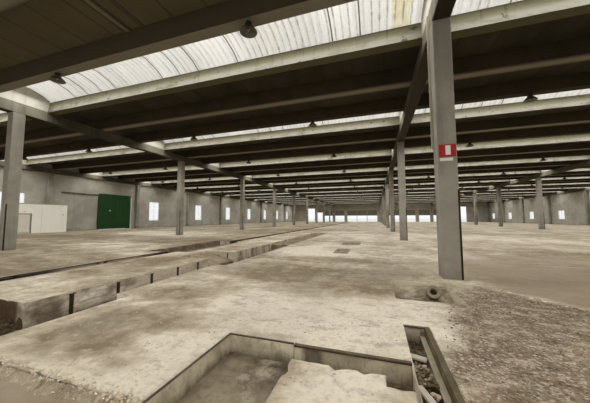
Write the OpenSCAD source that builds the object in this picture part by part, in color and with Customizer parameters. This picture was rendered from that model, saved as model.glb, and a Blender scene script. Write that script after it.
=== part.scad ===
// Precast concrete factory hall, a scale model at 1:10.
// All sizes are millimetres of the model, so 100 mm stand for one metre of the real hall.
// X runs across the aisles, Y along the hall away from the viewer, Z up from the underside of the raft.

/* [Hall] */
// Number of bays along the hall
bays = 11; // [6:1:16]
// Length of one bay, from column to column
bay_len = 1200; // [1080:10:1320]
// Width of one aisle, from column line to column line
aisle_w = 1940; // [1740:10:2200]

/* [Floor] */
// Thickness of the raft under the whole hall
raft_t = 20; // [12:1:60]
// Thickness of the floor slabs on the raft, which is the depth of the trenches
floor_t = 60; // [45:1:90]
// Width of the groove that runs the length of the hall
groove_w = 48; // [30:2:60]
// Distance of the groove from the middle column line
groove_x = 1104; // [1050:1:1150]
// Width of the long trench
trench_w = 145; // [100:1:160]
// Distance of the long trench's right edge from the middle column line
trench_x = 665; // [600:1:680]
// Length of the long trench
trench_len = 3210; // [2400:10:3280]
// Depth of the long trench
trench_d = 58; // [30:1:58]
// Depth of the shallow pits
pit_d = 32; // [20:1:40]
// Width of the shallow pit in the foreground
pit_w = 227; // [205:1:235]
// Width of the slot beside it
slot_w = 34; // [24:1:50]
// Thickness of the steel edge of the slot
slot_rail_t = 6; // [3:1:8]

/* [Frame] */
// Width of a column across the hall, which is a girder's width too
col_w = 45; // [36:1:60]
// Depth of a column along the hall
col_d = 50; // [36:1:70]
// Height from the floor to the underside of the girders
clear_h = 700; // [650:5:715]
// Depth of a girder
girder_h = 50; // [40:1:60]
// Gap in the joints between like precast pieces
joint = 0.4; // [0.3:0.1:0.8]

/* [Roof] */
// Distance from one roof element to the next, near which a whole number of them fills the hall
roof_pitch = 840; // [780:5:960]
// Width of one roof element
elem_w = 620; // [560:5:640]
// Height of the lips along an element's edges
lip_h = 60; // [50:1:80]
// Width of a lip at its bottom
lip_w = 42; // [30:1:60]
// Lean of a lip's outer face
lip_lean = 9; // [4:1:12]
// Height of the upright kerb at the top of a lip
kerb_h = 20; // [14:1:24]
// Width of the middle rib at its bottom
rib_w = 60; // [40:1:80]
// Spread of the ribs' inner faces towards the slab
rib_spread = 17; // [8:1:24]
// Thickness of an element's slab
slab_t = 16; // [10:1:24]

/* [Skylights] */
// Rise of the arched sheets
arch_rise = 45; // [30:1:60]
// Thickness of a sheet
sheet_t = 2; // [1.5:0.1:4]
// Width of a sheet's seat on a kerb
seat = 15; // [10:1:20]
// Height by which an end panel stands above the sheets
panel_rise = 4; // [2:1:8]

/* [Walls] */
// Thickness of the wall panels
wall_t = 20; // [14:1:30]
// Height of the walls above the floor
wall_h = 870; // [865:5:1000]
// Widest wall panel
panel_max = 250; // [200:10:300]
// Width of a window
win_w = 210; // [160:5:240]
// Height of a window in the left wall
win_h = 320; // [240:5:360]
// Height of a window in the right wall
low_win_h = 200; // [140:5:240]
// Height of the window sills above the floor
sill_h = 120; // [80:5:160]
// Distance of a window from the column line before it
win_off = 260; // [200:5:300]
// Thickness of the glass
glass_t = 3; // [2:0.5:5]
// Height of the doorways in the end walls
gate_h = 480; // [420:5:500]
// Height of the tall open doorway in the end walls
tall_gate_h = 590; // [520:5:620]
// Height below a lowered roller shutter
shutter_clear = 260; // [200:5:300]
// Thickness of a roller shutter
shutter_t = 4; // [3:0.5:6]

/* [Sliding door] */
// Width of the doorway in the left wall
doorway_w = 430; // [380:5:450]
// Height of the doorway in the left wall
doorway_h = 440; // [400:5:460]
// Distance of the doorway from the column line after it
doorway_end = 155; // [100:5:160]
// Lap of the door leaf over the doorway on each side
leaf_lap = 32; // [20:1:36]
// Thickness of the door leaf
leaf_t = 8; // [6:1:12]
// Clearance around moving pieces
play = 6; // [5:0.5:8]
// Height of the door's rail
rail_h = 20; // [14:1:26]
// Distance of the rail's near end from the column line before the doorway
rail_start = 138; // [130:1:150]

/* [Cabin] */
// Length of the cabin along the wall
cabin_l = 490; // [420:5:500]
// Length by which the cabin reaches past the column in it
cabin_over = 95; // [80:1:105]
// Depth of the cabin from the wall
cabin_d = 200; // [160:5:260]
// Height of the cabin
cabin_h = 320; // [280:5:340]
// Thickness of the cabin's panels
cabin_t = 6; // [4:0.5:10]
// Width of the cabin's doorway
hatch_w = 105; // [90:1:120]
// Height of the cabin's doorway
hatch_h = 208; // [190:1:215]

/* [Fittings] */
// Diameter of a lamp's shade
lamp_dia = 54; // [40:1:64]
// Height of a lamp, from its rim to the lip that it hangs from
lamp_h = 32; // [24:1:44]
// Distance of the lamps from the column lines
lamp_off = 535; // [450:5:650]
// Height of the steel guards on the columns
guard_h = 230; // [150:5:260]
// Leg of a steel guard
guard_leg = 10; // [8:1:14]
// Thickness of a steel guard
guard_t = 2; // [1.5:0.5:4]
// Side of the square cable duct on a column
duct = 6; // [4:1:9]
// Width of the plain plate on a column
plate_w = 40; // [30:1:44]
// Height of the plain plate
plate_h = 33; // [24:1:40]
// Height of the plate's lower edge above the floor
plate_z = 317; // [200:1:400]
// Thickness of the plain plate
plate_t = 1.5; // [1:0.1:3]

/* [Hidden] */
$fn = 48;

aisles = 4;
floor_z = raft_t + floor_t;
hall_len = bays * bay_len;
hall_w = aisles * aisle_w;
girder_z = floor_z + clear_h;
seat_z = girder_z + girder_h;
soffit_h = lip_h - 4;
elements = 1 + round((hall_len - elem_w) / roof_pitch);
elem_pitch = (hall_len - elem_w) / (elements - 1);
sky_gap = elem_pitch - elem_w;
chord = sky_gap + 2 * (lip_lean + seat);
arch_r = (chord * chord / 4 + arch_rise * arch_rise) / (2 * arch_rise);
wall_top = floor_z + wall_h;
// The viewed bay starts at this column row, and the next bay has the sliding door.
view_row = 2;
door_row = view_row + 1;
// The viewer stands this far before the viewed column row, which places the pits.
view_back = 791;
view_y = (view_row - bays / 2) * bay_len - view_back;
// The slab with the pits, from the viewer back to its near end, its length and its width
pit_zone_back = 650;
pit_zone_len = 3560;
pit_zone_w = 1344;
pit_zone_y = view_y - pit_zone_back;
// A pit's cut runs past its neighbour's side by this much.
lap = 1;
// The trench's far end from the viewer, and where its right side steps back and out again
trench_far = 2750;
trench_step = 40;
trench_step_end = 550;
trench_step_far = 765;
// The short trench to its left, near the viewer
side_trench_l = 90;
side_trench_y = 262;
side_trench_w = 50;
// The cross trench to its left, farther on
cross_trench_l = 150;
cross_trench_y = 870;
cross_trench_w = 195;
// The hollow before the near edge of the middle slab
hollow_y = 20;
hollow_l = 160;
// The shallow pit: its left side from the middle column line, and its near and far end
pit_x = 377;
pit_near = -200;
pit_far = 322;
// The two slabs that are left standing in the shallow pit
standing_off = 99;
standing_w = 101;
standing_far = 288;
standing_small_far = 270;
standing_gap = 2;
// The slot beside the shallow pit
slot_gap = 1;
slot_far = 425;
slot_d = 50;
// The pit with the pipe stub, before the near column
stub_pit_x = 150;
stub_pit_w = 120;
stub_pit_y = 555;
stub_pit_l = 160;
stub_x = 65;
stub_y = 627;
stub_r = 14;
stub_t = 4;
// Two worn hollows farther on
first_hollow_x = 372;
first_hollow_w = 66;
first_hollow_y = 1170;
second_hollow_x = 383;
second_hollow_w = 105;
second_hollow_y = 1550;
hollow_patch_l = 190;
hollow_patch_d = 14;
// The broken stretch of the groove, by which its right and its left edge is broken off
broken_right = 66;
broken_left = 90;
broken_y = 1000;
broken_l = 560;
leaf_w = doorway_w + 2 * leaf_lap;
doorway_off = bay_len - doorway_end - doorway_w;
leaf_y = (door_row - bays / 2) * bay_len + doorway_off - leaf_lap;
// Length by which the leaf slides open
travel = doorway_off - leaf_lap - rail_start;
leaf_z = floor_z + play;
rail_z = floor_z + doorway_h + leaf_lap;
leaf_h = rail_z - play - leaf_z;
cabin_y = (door_row - bays / 2) * bay_len + cabin_over - cabin_l;
hatch_off = 45;
hatch_y = cabin_y + hatch_off;
hinge_r = 1.5;
hinge_fit = 0.3;
// A middle aisle's doorways in the end walls, as shares of the aisle's width
inner_gate_share = 0.206;
inner_gate_starts = [0.026, 0.299, 0.515, 0.732];
// An outer aisle's doorways: start and width, as shares, then the height and the height left clear
outer_gates = [[0.381, 0.165, tall_gate_h, tall_gate_h], [0.572, 0.160, gate_h, gate_h - 70],
    [0.773, 0.191, gate_h, shutter_clear]];
inner_gates = [for (start = inner_gate_starts) [start, inner_gate_share, gate_h, shutter_clear]];

function line_x(i) = (i - aisles / 2) * aisle_w;
function row_y(k) = (k - bays / 2) * bay_len;
// The outermost columns stand inside the walls.
function post_x(i) = line_x(i) + (i == 0 ? col_w / 2 : i == aisles ? -col_w / 2 : 0);
function post_y(k) = row_y(k) + (k == 0 ? col_d / 2 : k == bays ? -col_d / 2 : 0);
function elem_y(n) = n * elem_pitch - hall_len / 2;
function sky_y(n) = elem_y(n) + elem_w + sky_gap / 2;
// Number of aisle whose middle column line bounds it on the right.
mid = aisles / 2;

// A box given by its two corners.
module block(a, b) {
    translate(a) cube(b - a);
}

// Extrudes a profile drawn in Y and Z along X.
module along_x(x0, x1) {
    translate([x0, 0, 0]) rotate([90, 0, 90]) linear_extrude(x1 - x0) children();
}

module foundation_raft() {
    color("dimgray")
        block([-hall_w / 2 - wall_t, -hall_len / 2 - wall_t, 0],
            [hall_w / 2 + wall_t, hall_len / 2 + wall_t, raft_t]);
}

module floor_slab(x0, y0, x1, y1) {
    block([x0, y0, raft_t], [x1, y1, floor_z]);
}

module floor_left() {
    edge = -groove_x - groove_w / 2;
    color("tan") difference() {
        floor_slab(-hall_w / 2, -hall_len / 2, edge, hall_len / 2);
        pit(edge - broken_left, broken_y, edge + lap, broken_y + broken_l, pit_d);
    }
}

module floor_near() {
    color("tan") floor_slab(-groove_x + groove_w / 2, -hall_len / 2, hall_w / 2, pit_zone_y - joint);
}

module floor_far() {
    color("tan") {
        floor_slab(-groove_x + groove_w / 2, pit_zone_y + pit_zone_len + joint, hall_w / 2, hall_len / 2);
        floor_slab(pit_zone_w - groove_x + joint, pit_zone_y, hall_w / 2, pit_zone_y + pit_zone_len);
    }
}

// A cut through the slab's top, to a depth, given by its plan in the viewer's own Y.
module pit(x0, y0, x1, y1, depth) {
    block([x0, view_y + y0, floor_z - depth], [x1, view_y + y1, floor_z + 1]);
}

module floor_pits() {
    trench_left = -trench_x - trench_w;
    slot_x = -pit_x + pit_w + slot_gap;
    color("tan") difference() {
        floor_slab(-groove_x + groove_w / 2, pit_zone_y, pit_zone_w - groove_x, pit_zone_y + pit_zone_len);
        // The long trench, its wider near and far stretches and the short trenches to its left
        pit(trench_left, trench_far - trench_len, -trench_x - trench_step, trench_far, trench_d);
        pit(-trench_x - trench_step - lap, trench_far - trench_len, -trench_x, trench_step_end, trench_d);
        pit(-trench_x - trench_step - lap, trench_step_far, -trench_x, trench_far, trench_d);
        pit(trench_left - side_trench_l, side_trench_y,
            trench_left + lap, side_trench_y + side_trench_w, trench_d);
        pit(trench_left - cross_trench_l, cross_trench_y,
            trench_left + lap, cross_trench_y + cross_trench_w, trench_d);
        pit(-trench_x - lap, hollow_y, -pit_x, hollow_y + hollow_l, trench_d);
        difference() {
            pit(-pit_x, pit_near, -pit_x + pit_w, pit_far, pit_d);
            pit(-pit_x + standing_off, pit_near - lap,
                -pit_x + standing_off + standing_w, standing_far, floor_t);
            pit(-pit_x + standing_off + standing_w - lap, pit_near - lap,
                -pit_x + pit_w - standing_gap, standing_small_far, floor_t);
        }
        pit(slot_x, pit_near, slot_x + slot_w, slot_far, slot_d);
        pit(-stub_pit_x, stub_pit_y, -stub_pit_x + stub_pit_w, stub_pit_y + stub_pit_l, pit_d);
        pit(-first_hollow_x, first_hollow_y, -first_hollow_x + first_hollow_w,
            first_hollow_y + hollow_patch_l, hollow_patch_d);
        pit(-second_hollow_x, second_hollow_y, -second_hollow_x + second_hollow_w,
            second_hollow_y + hollow_patch_l, hollow_patch_d);
        pit(-groove_x, broken_y, -groove_x + groove_w / 2 + broken_right, broken_y + broken_l, pit_d);
    }
}

module slot_edge_rail() {
    edge = -pit_x + pit_w + slot_gap + slot_w;
    color("slategray")
        block([edge - slot_rail_t, view_y + pit_near, floor_z - slot_d], [edge, view_y + slot_far, floor_z]);
}

module pipe_stub() {
    color("dimgray") translate([-stub_x, view_y + stub_y, floor_z - pit_d]) difference() {
        cylinder(r = stub_r, h = pit_d - 6);
        translate([0, 0, stub_t]) cylinder(r = stub_r - stub_t, h = pit_d);
    }
}

module columns(i) {
    color("gray") for (k = [0:bays])
        block([post_x(i) - col_w / 2, post_y(k) - col_d / 2, floor_z],
            [post_x(i) + col_w / 2, post_y(k) + col_d / 2, girder_z]);
}

module girders(i) {
    color("darkgray") for (k = [0:bays - 1])
        block([post_x(i) - col_w / 2, row_y(k) + joint / 2, girder_z],
            [post_x(i) + col_w / 2, row_y(k + 1) - joint / 2, seat_z]);
}

// Half of an element's section, from its edge to its middle.
half_section = [[0, 0], [lip_w, 0], [lip_w + rib_spread, soffit_h],
    [elem_w / 2 - rib_w / 2 - rib_spread, soffit_h], [elem_w / 2 - rib_w / 2, 0], [elem_w / 2, 0],
    [elem_w / 2, soffit_h + slab_t], [lip_lean + seat + 20, soffit_h + slab_t], [lip_lean + seat + 20, lip_h],
    [lip_lean, lip_h], [lip_lean, lip_h - kerb_h]];

module element_section() {
    polygon(half_section);
    translate([elem_w, 0]) mirror([1, 0]) polygon(half_section);
}

module roof(a) {
    color("darkgray") for (n = [0:elements - 1])
        translate([0, elem_y(n), seat_z])
            along_x(line_x(a) + joint / 2, line_x(a + 1) - joint / 2) element_section();
}

module sheet_section() {
    intersection() {
        translate([0, arch_rise - arch_r]) difference() {
            circle(r = arch_r, $fn = 96);
            circle(r = arch_r - sheet_t, $fn = 96);
        }
        translate([-chord, 0]) square([2 * chord, chord]);
    }
}

module skylights(a) {
    color("ivory") for (n = [0:elements - 2])
        translate([0, sky_y(n), seat_z + lip_h])
            along_x(inner_side(a, 1) + joint, inner_side(a + 1, -1) - joint) sheet_section();
}

// The side face of a girder line that looks to the right (1) or to the left (-1).
function inner_side(i, side) = post_x(i) + side * col_w / 2;

// A closing panel between two elements, with the gap's shape below and the arch on top.
module end_panel_section() {
    half = sky_gap / 2 - joint / 2;
    panel_top = lip_h + arch_rise + panel_rise;
    intersection() {
        polygon([[-half, 0], [half, 0], [half + lip_lean, lip_h - kerb_h], [half + lip_lean, panel_top],
            [-half - lip_lean, panel_top], [-half - lip_lean, lip_h - kerb_h]]);
        translate([0, lip_h + arch_rise - arch_r]) circle(r = arch_r + panel_rise, $fn = 96);
    }
}

module end_panels(lines) {
    color("silver") for (i = lines) for (n = [0:elements - 2])
        translate([0, sky_y(n), seat_z]) along_x(inner_side(i, -1), inner_side(i, 1)) end_panel_section();
}

// Upright panels of a side wall, between two places along Y.
module side_panels(x0, x1, y0, y1, z0, z1) {
    count = ceil((y1 - y0) / panel_max);
    step = (y1 - y0) / count;
    for (n = [0:count - 1])
        block([x0, y0 + n * step + joint / 2, z0], [x1, y0 + (n + 1) * step - joint / 2, z1]);
}

// A side wall's bay with one opening, which may reach down to the floor.
module side_bay(x0, x1, k, off, width, sill, head) {
    start = row_y(k) - (k == 0 ? wall_t : 0);
    end = row_y(k + 1) + (k == bays - 1 ? wall_t : 0);
    side_panels(x0, x1, start, row_y(k) + off, raft_t, wall_top);
    side_panels(x0, x1, row_y(k) + off + width, end, raft_t, wall_top);
    side_panels(x0, x1, row_y(k) + off, row_y(k) + off + width, floor_z + head, wall_top);
    side_panels(x0, x1, row_y(k) + off, row_y(k) + off + width, raft_t, floor_z + sill);
}

// Distance of the window from the column row before it, in a bay of the left wall. One window is by the cabin.
cabin_win_end = 210;
function left_off(k) = k == view_row ? bay_len - win_w - cabin_win_end : win_off;

module wall_left() {
    color("lightgray") for (k = [0:bays - 1])
        if (k == door_row)
            side_bay(-hall_w / 2 - wall_t, -hall_w / 2, k, doorway_off, doorway_w, 0, doorway_h);
        else
            side_bay(-hall_w / 2 - wall_t, -hall_w / 2, k, left_off(k), win_w, sill_h, sill_h + win_h);
}

function right_off(k) = bay_len - win_off - win_w;

module wall_right() {
    color("lightgray") for (k = [0:bays - 1])
        side_bay(hall_w / 2, hall_w / 2 + wall_t, k, right_off(k), win_w, sill_h, sill_h + low_win_h);
}

module glass_row(x, bays_with_glass, right) {
    color("lightblue") for (k = bays_with_glass) {
        y0 = row_y(k) + (right ? right_off(k) : left_off(k));
        head = sill_h + (right ? low_win_h : win_h);
        block([x - glass_t / 2, y0 + joint, floor_z + sill_h],
            [x + glass_t / 2, y0 + win_w - joint, floor_z + head]);
    }
}

module window_glass_left() {
    glass_row(-hall_w / 2 - wall_t / 2, [for (k = [0:bays - 1]) if (k != door_row) k], false);
}

module window_glass_right() {
    glass_row(hall_w / 2 + wall_t / 2, [0:bays - 1], true);
}

// Doorways of one aisle in the end walls, in millimetres; the outer aisles have the tall doorway.
function gates(a) = [for (g = a == 0 || a == aisles - 1 ? outer_gates : inner_gates)
    [g[0] * aisle_w, g[1] * aisle_w, g[2], g[3]]];
// The aisles on the right are the mirror image of those on the left.
function gate_x(a, g) = a < mid ? line_x(a) + g[0] : line_x(a + 1) - g[0] - g[1];

// An end wall of piers between the doorways and a head over each, from y0 to y1.
module end_wall(y0, y1) {
    color("lightgray") for (a = [0:aisles - 1]) {
        row = a < mid ? gates(a) : [for (n = [len(gates(a)) - 1:-1:0]) gates(a)[n]];
        for (n = [0:len(row)]) {
            x0 = n == 0 ? line_x(a) : gate_x(a, row[n - 1]) + row[n - 1][1];
            x1 = n == len(row) ? line_x(a + 1) : gate_x(a, row[n]);
            block([x0 + joint / 2, y0, raft_t], [x1 - joint / 2, y1, wall_top]);
        }
        for (g = row) {
            x = gate_x(a, g);
            block([x + joint / 2, y0, floor_z + g[2]], [x + g[1] - joint / 2, y1, wall_top]);
            block([x + joint / 2, y0, raft_t], [x + g[1] - joint / 2, y1, floor_z]);
        }
    }
}

module wall_front() {
    end_wall(-hall_len / 2 - wall_t, -hall_len / 2);
}

module wall_back() {
    end_wall(hall_len / 2, hall_len / 2 + wall_t);
}

module shutters(y) {
    color("darkslategray") for (a = [0:aisles - 1]) for (g = gates(a)) if (g[3] < g[2])
        block([gate_x(a, g) + joint, y - shutter_t / 2, floor_z + g[3]],
            [gate_x(a, g) + g[1] - joint, y + shutter_t / 2, floor_z + g[2]]);
}

module roller_shutters_front() {
    shutters(-hall_len / 2 - wall_t / 2);
}

module roller_shutters_back() {
    shutters(hall_len / 2 + wall_t / 2);
}

// The leaf hangs on two rollers that run on top of the rail, each on a plate that stands clear before it.
roller_r = 8;
axle_r = 2;
rail_t = 5;
rail_off = play + leaf_t / 2 - rail_t / 2;
hanger_t = 2;
hanger_half = 7;
hanger_x = -hall_w / 2 + rail_off + rail_t + play;
// Shares of the leaf's width at which the hangers stand
hanger_shares = [0.18, 0.82];

module hanger(y) {
    x = -hall_w / 2 + rail_off;
    axle_z = rail_z + rail_h + hinge_fit + roller_r;
    leaf_top = leaf_z + leaf_h;
    foot_z = leaf_top - 2 * rail_h + 10;
    translate([x, y, axle_z]) rotate([0, 90, 0]) cylinder(r = roller_r, h = rail_t);
    translate([x, y, axle_z]) rotate([0, 90, 0]) cylinder(r = axle_r, h = hanger_x + hanger_t - x);
    block([hanger_x, y - hanger_half, foot_z], [hanger_x + hanger_t, y + hanger_half, axle_z + 3 * axle_r]);
    block([-hall_w / 2 + play + leaf_t - lap, y - hanger_half, foot_z],
        [hanger_x + hanger_t, y + hanger_half, leaf_top - 2 * axle_r]);
}

module sliding_door() {
    x = -hall_w / 2 + play;
    color("darkgreen") union() {
        block([x, leaf_y, leaf_z], [x + leaf_t, leaf_y + leaf_w, leaf_z + leaf_h]);
        for (share = hanger_shares) hanger(leaf_y + leaf_w * share);
    }
}

// The rail with the blocks that hold it off the wall.
rail_blocks = 5;
rail_block_l = 10;

module sliding_door_rail() {
    x = -hall_w / 2 + rail_off;
    start = leaf_y - travel;
    end = leaf_y + leaf_w;
    step = (end - start - rail_block_l) / (rail_blocks - 1);
    color("dimgray") union() {
        block([x, start, rail_z], [x + rail_t, end, rail_z + rail_h]);
        for (n = [0:rail_blocks - 1])
            block([-hall_w / 2, start + n * step, rail_z + 2],
                [x + lap, start + n * step + rail_block_l, rail_z + rail_h - 2]);
    }
}

// The cabin's door turns on one pin, which reaches into a hole in the floor panel and one over the doorway.
pin_reach = 11;
pivot_x = -hall_w / 2 + joint + cabin_d - cabin_t / 2;
pivot_y = hatch_y + play + hinge_r;

module cabin() {
    x0 = -hall_w / 2 + joint;
    x1 = x0 + cabin_d;
    y1 = cabin_y + cabin_l;
    z0 = floor_z;
    z1 = floor_z + cabin_h;
    post_half = col_d / 2 + joint;
    color("whitesmoke") difference() {
        block([x0, cabin_y, z0], [x1, y1, z1]);
        block([x0 + cabin_t, cabin_y + cabin_t, z0 + cabin_t], [x1 - cabin_t, y1 - cabin_t, z1 - cabin_t]);
        block([x1 - cabin_t - lap, hatch_y, z0 + cabin_t], [x1 + lap, hatch_y + hatch_w, z0 + hatch_h]);
        // The wall column that stands in the cabin
        block([x0 - lap, row_y(door_row) - post_half, z0 - lap],
            [-hall_w / 2 + col_w + joint, row_y(door_row) + post_half, z1 + lap]);
        // The pin's holes
        translate([pivot_x, pivot_y, z0 + lap]) cylinder(r = hinge_r + hinge_fit, h = cabin_t);
        translate([pivot_x, pivot_y, z0 + hatch_h - lap])
            cylinder(r = hinge_r + hinge_fit, h = pin_reach + lap);
    }
}

module cabin_door() {
    half_t = 2;
    pin_low = floor_z + lap + hinge_fit;
    pin_top = floor_z + hatch_h + pin_reach - hinge_fit;
    color("ghostwhite") union() {
        block([pivot_x - half_t, pivot_y, floor_z + cabin_t + play],
            [pivot_x + half_t, hatch_y + hatch_w - play, floor_z + hatch_h - play]);
        translate([pivot_x, pivot_y, pin_low]) cylinder(r = hinge_r, h = pin_top - pin_low);
    }
}

// A lamp: its bell-shaped shade and the housing that holds it to the lip.
bell_share = 0.58;
housing_r = lamp_dia * 0.19;

module lamp() {
    cylinder(r1 = lamp_dia / 2, r2 = housing_r, h = lamp_h * bell_share, $fn = 24);
    translate([0, 0, lamp_h * bell_share]) cylinder(r = housing_r, h = lamp_h * (1 - bell_share), $fn = 24);
}

// Distance of the lamps from the far edge of the element that carries them, under its lip
lamp_back = lip_w * 0.56;

module lamps() {
    color("dimgray")
        for (a = [0:aisles - 1]) for (n = [0:elements - 2]) for (side = [lamp_off, aisle_w - lamp_off])
            translate([line_x(a) + side, elem_y(n) + elem_w - lamp_back, seat_z - lamp_h]) lamp();
}

module column_guards() {
    color("black") for (i = [1:aisles - 1]) for (k = [1:bays - 1]) {
        x = post_x(i) + col_w / 2;
        y = post_y(k) - col_d / 2;
        union() {
            block([x - guard_leg, y - guard_t, floor_z], [x + guard_t, y, floor_z + guard_h]);
            block([x, y - guard_t, floor_z], [x + guard_t, y + guard_leg, floor_z + guard_h]);
        }
    }
}

module cable_duct() {
    x = post_x(mid) - col_w / 2;
    y = post_y(view_row) + col_d / 2 - 2 * duct;
    color("gainsboro") block([x - duct, y, floor_z + clear_h / 2], [x, y + duct, seat_z - duct]);
}

module column_plate() {
    y = post_y(view_row) - col_d / 2;
    color("firebrick")
        block([post_x(mid) - plate_w / 2, y - plate_t, floor_z + plate_z],
            [post_x(mid) + plate_w / 2, y, floor_z + plate_z + plate_h]);
}

foundation_raft();
floor_left();
floor_near();
floor_pits();
floor_far();
slot_edge_rail();
pipe_stub();
columns(0);  // columns_left_wall
columns(mid - 1);  // columns_left_line
columns(mid);  // columns_middle_line
columns(mid + 1);  // columns_right_line
columns(aisles);  // columns_right_wall
girders(0);  // girders_left_wall
girders(mid - 1);  // girders_left_line
girders(mid);  // girders_middle_line
girders(mid + 1);  // girders_right_line
girders(aisles);  // girders_right_wall
roof(0);  // roof_left_aisle
roof(1);  // roof_middle_aisle
roof(2);  // roof_right_aisle
roof(3);  // roof_far_right_aisle
skylights(0);  // skylights_left_aisle
skylights(1);  // skylights_middle_aisle
skylights(2);  // skylights_right_aisle
skylights(3);  // skylights_far_right_aisle
end_panels([1:aisles - 1]);  // skylight_end_panels
end_panels([0, aisles]);  // wall_end_panels
wall_left();
wall_right();
wall_front();
wall_back();
window_glass_left();
window_glass_right();
roller_shutters_front();
roller_shutters_back();
sliding_door();
sliding_door_rail();
cabin();
cabin_door();
lamps();
column_guards();
cable_duct();
column_plate();
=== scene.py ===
"""Looks of a precast concrete factory hall, a 1:10 scale model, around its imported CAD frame.

X runs across the aisles, Y along the hall away from the viewer and Z up. All lengths are metres of the model,
so 0.1 stands for one metre of the real hall.
"""

import logging
import math
import random
from dataclasses import dataclass
from enum import Enum
from typing import Callable, Iterator, Optional, Sequence

import bmesh
import bpy
from mathutils import Matrix, Vector, noise


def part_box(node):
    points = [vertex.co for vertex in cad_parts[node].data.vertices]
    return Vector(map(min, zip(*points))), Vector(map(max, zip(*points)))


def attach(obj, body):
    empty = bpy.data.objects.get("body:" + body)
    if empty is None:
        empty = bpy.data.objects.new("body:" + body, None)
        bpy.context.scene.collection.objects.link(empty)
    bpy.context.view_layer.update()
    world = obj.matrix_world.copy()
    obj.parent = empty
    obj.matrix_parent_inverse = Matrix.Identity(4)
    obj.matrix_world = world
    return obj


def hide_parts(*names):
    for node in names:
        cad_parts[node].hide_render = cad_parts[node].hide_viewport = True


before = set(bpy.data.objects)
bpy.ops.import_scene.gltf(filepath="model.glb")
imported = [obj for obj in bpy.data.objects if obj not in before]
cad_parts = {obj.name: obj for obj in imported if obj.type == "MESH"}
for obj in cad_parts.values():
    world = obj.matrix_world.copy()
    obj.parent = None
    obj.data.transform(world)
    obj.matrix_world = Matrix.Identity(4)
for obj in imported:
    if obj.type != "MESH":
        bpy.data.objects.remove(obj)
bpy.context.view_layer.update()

LOG = logging.getLogger("factory_hall")

Colour = tuple[float, float, float]
Point = tuple[float, float, float]
Flat = tuple[float, float]

HALL_BODY = "hall"
LEAF_BODY = "sliding_door"
CABIN_DOOR_BODY = "cabin_door"


class Aisle(Enum):
    """The four aisles, from left to right."""

    LEFT = "left"
    MIDDLE = "middle"
    RIGHT = "right"
    FAR_RIGHT = "far_right"


class Line(Enum):
    """The five lines of columns and girders, from left to right."""

    LEFT_WALL = "left_wall"
    LEFT = "left_line"
    MIDDLE = "middle_line"
    RIGHT = "right_line"
    RIGHT_WALL = "right_wall"


def colour(code: str) -> Colour:
    """Turns a display colour such as c8b89a into linear red, green and blue.

    Args:
        code: Six hexadecimal digits.

    Returns:
        The linear colour that a shader takes.
    """
    parts = [int(code[at:at + 2], 16) / 255 for at in (0, 2, 4)]
    return tuple(part / 12.92 if part <= 0.04045 else ((part + 0.055) / 1.055) ** 2.4 for part in parts)


# Shader maths


class Signal:
    """A number that varies over a surface; expressions on it add Math nodes."""

    def __init__(self, book: "NodeBook", socket: bpy.types.NodeSocket) -> None:
        """Wraps one output socket of the book's tree."""
        self.book = book
        self.socket = socket

    def math(self, operation: str, other: "Signal | float" = 0.0, clamp: bool = False) -> "Signal":
        """Adds one Math node.

        Args:
            operation: The node's operation, such as MULTIPLY.
            other: The second operand.
            clamp: Whether the result is kept between 0 and 1.

        Returns:
            The node's result.
        """
        node = self.book.node("ShaderNodeMath", {"operation": operation, "use_clamp": clamp}, {0: self, 1: other})
        return Signal(self.book, node.outputs[0])

    def swapped(self, operation: str, other: float) -> "Signal":
        """Adds a Math node with the plain number as its first operand."""
        node = self.book.node("ShaderNodeMath", {"operation": operation}, {0: other, 1: self})
        return Signal(self.book, node.outputs[0])

    def __add__(self, other: "Signal | float") -> "Signal":
        """Adds."""
        return self.math("ADD", other)

    def __radd__(self, other: float) -> "Signal":
        """Adds a number on the left."""
        return self.math("ADD", other)

    def __sub__(self, other: "Signal | float") -> "Signal":
        """Subtracts."""
        return self.math("SUBTRACT", other)

    def __rsub__(self, other: float) -> "Signal":
        """Subtracts from a number, so that 1 - mask works."""
        return self.swapped("SUBTRACT", other)

    def __mul__(self, other: "Signal | float") -> "Signal":
        """Multiplies."""
        return self.math("MULTIPLY", other)

    def __rmul__(self, other: float) -> "Signal":
        """Multiplies with a number on the left."""
        return self.math("MULTIPLY", other)

    def __truediv__(self, other: "Signal | float") -> "Signal":
        """Divides."""
        return self.math("DIVIDE", other)

    def __rtruediv__(self, other: float) -> "Signal":
        """Divides a number by this."""
        return self.swapped("DIVIDE", other)

    def __gt__(self, other: "Signal | float") -> "Signal":
        """Is 1 where this is the greater one, else 0."""
        return self.math("GREATER_THAN", other)

    def __lt__(self, other: "Signal | float") -> "Signal":
        """Is 1 where this is the smaller one, else 0."""
        return self.math("LESS_THAN", other)

    def clamped(self) -> "Signal":
        """Keeps it between 0 and 1."""
        return self.math("ADD", 0.0, clamp=True)

    def size(self) -> "Signal":
        """Takes the sign away."""
        return self.math("ABSOLUTE")

    def whole(self) -> "Signal":
        """Rounds down."""
        return self.math("FLOOR")

    def part(self) -> "Signal":
        """Keeps what stands after the point."""
        return self.math("FRACT")

    def step_between(self, low: float, high: float) -> "Signal":
        """Rises smoothly from 0 to 1.

        Args:
            low: Where it leaves 0; it may be the greater of the two.
            high: Where it reaches 1.

        Returns:
            The smooth step.
        """
        node = self.book.node(
            "ShaderNodeMapRange",
            {"interpolation_type": "SMOOTHSTEP", "clamp": True},
            {"Value": self, "From Min": low, "From Max": high, "To Min": 0.0, "To Max": 1.0},
        )
        return Signal(self.book, node.outputs[0])

    def band(self, middle: float, half: float, soft: float) -> "Signal":
        """Is 1 within half of a middle value and fades over a soft width."""
        return (self - middle).size().step_between(half + soft, half)


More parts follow.
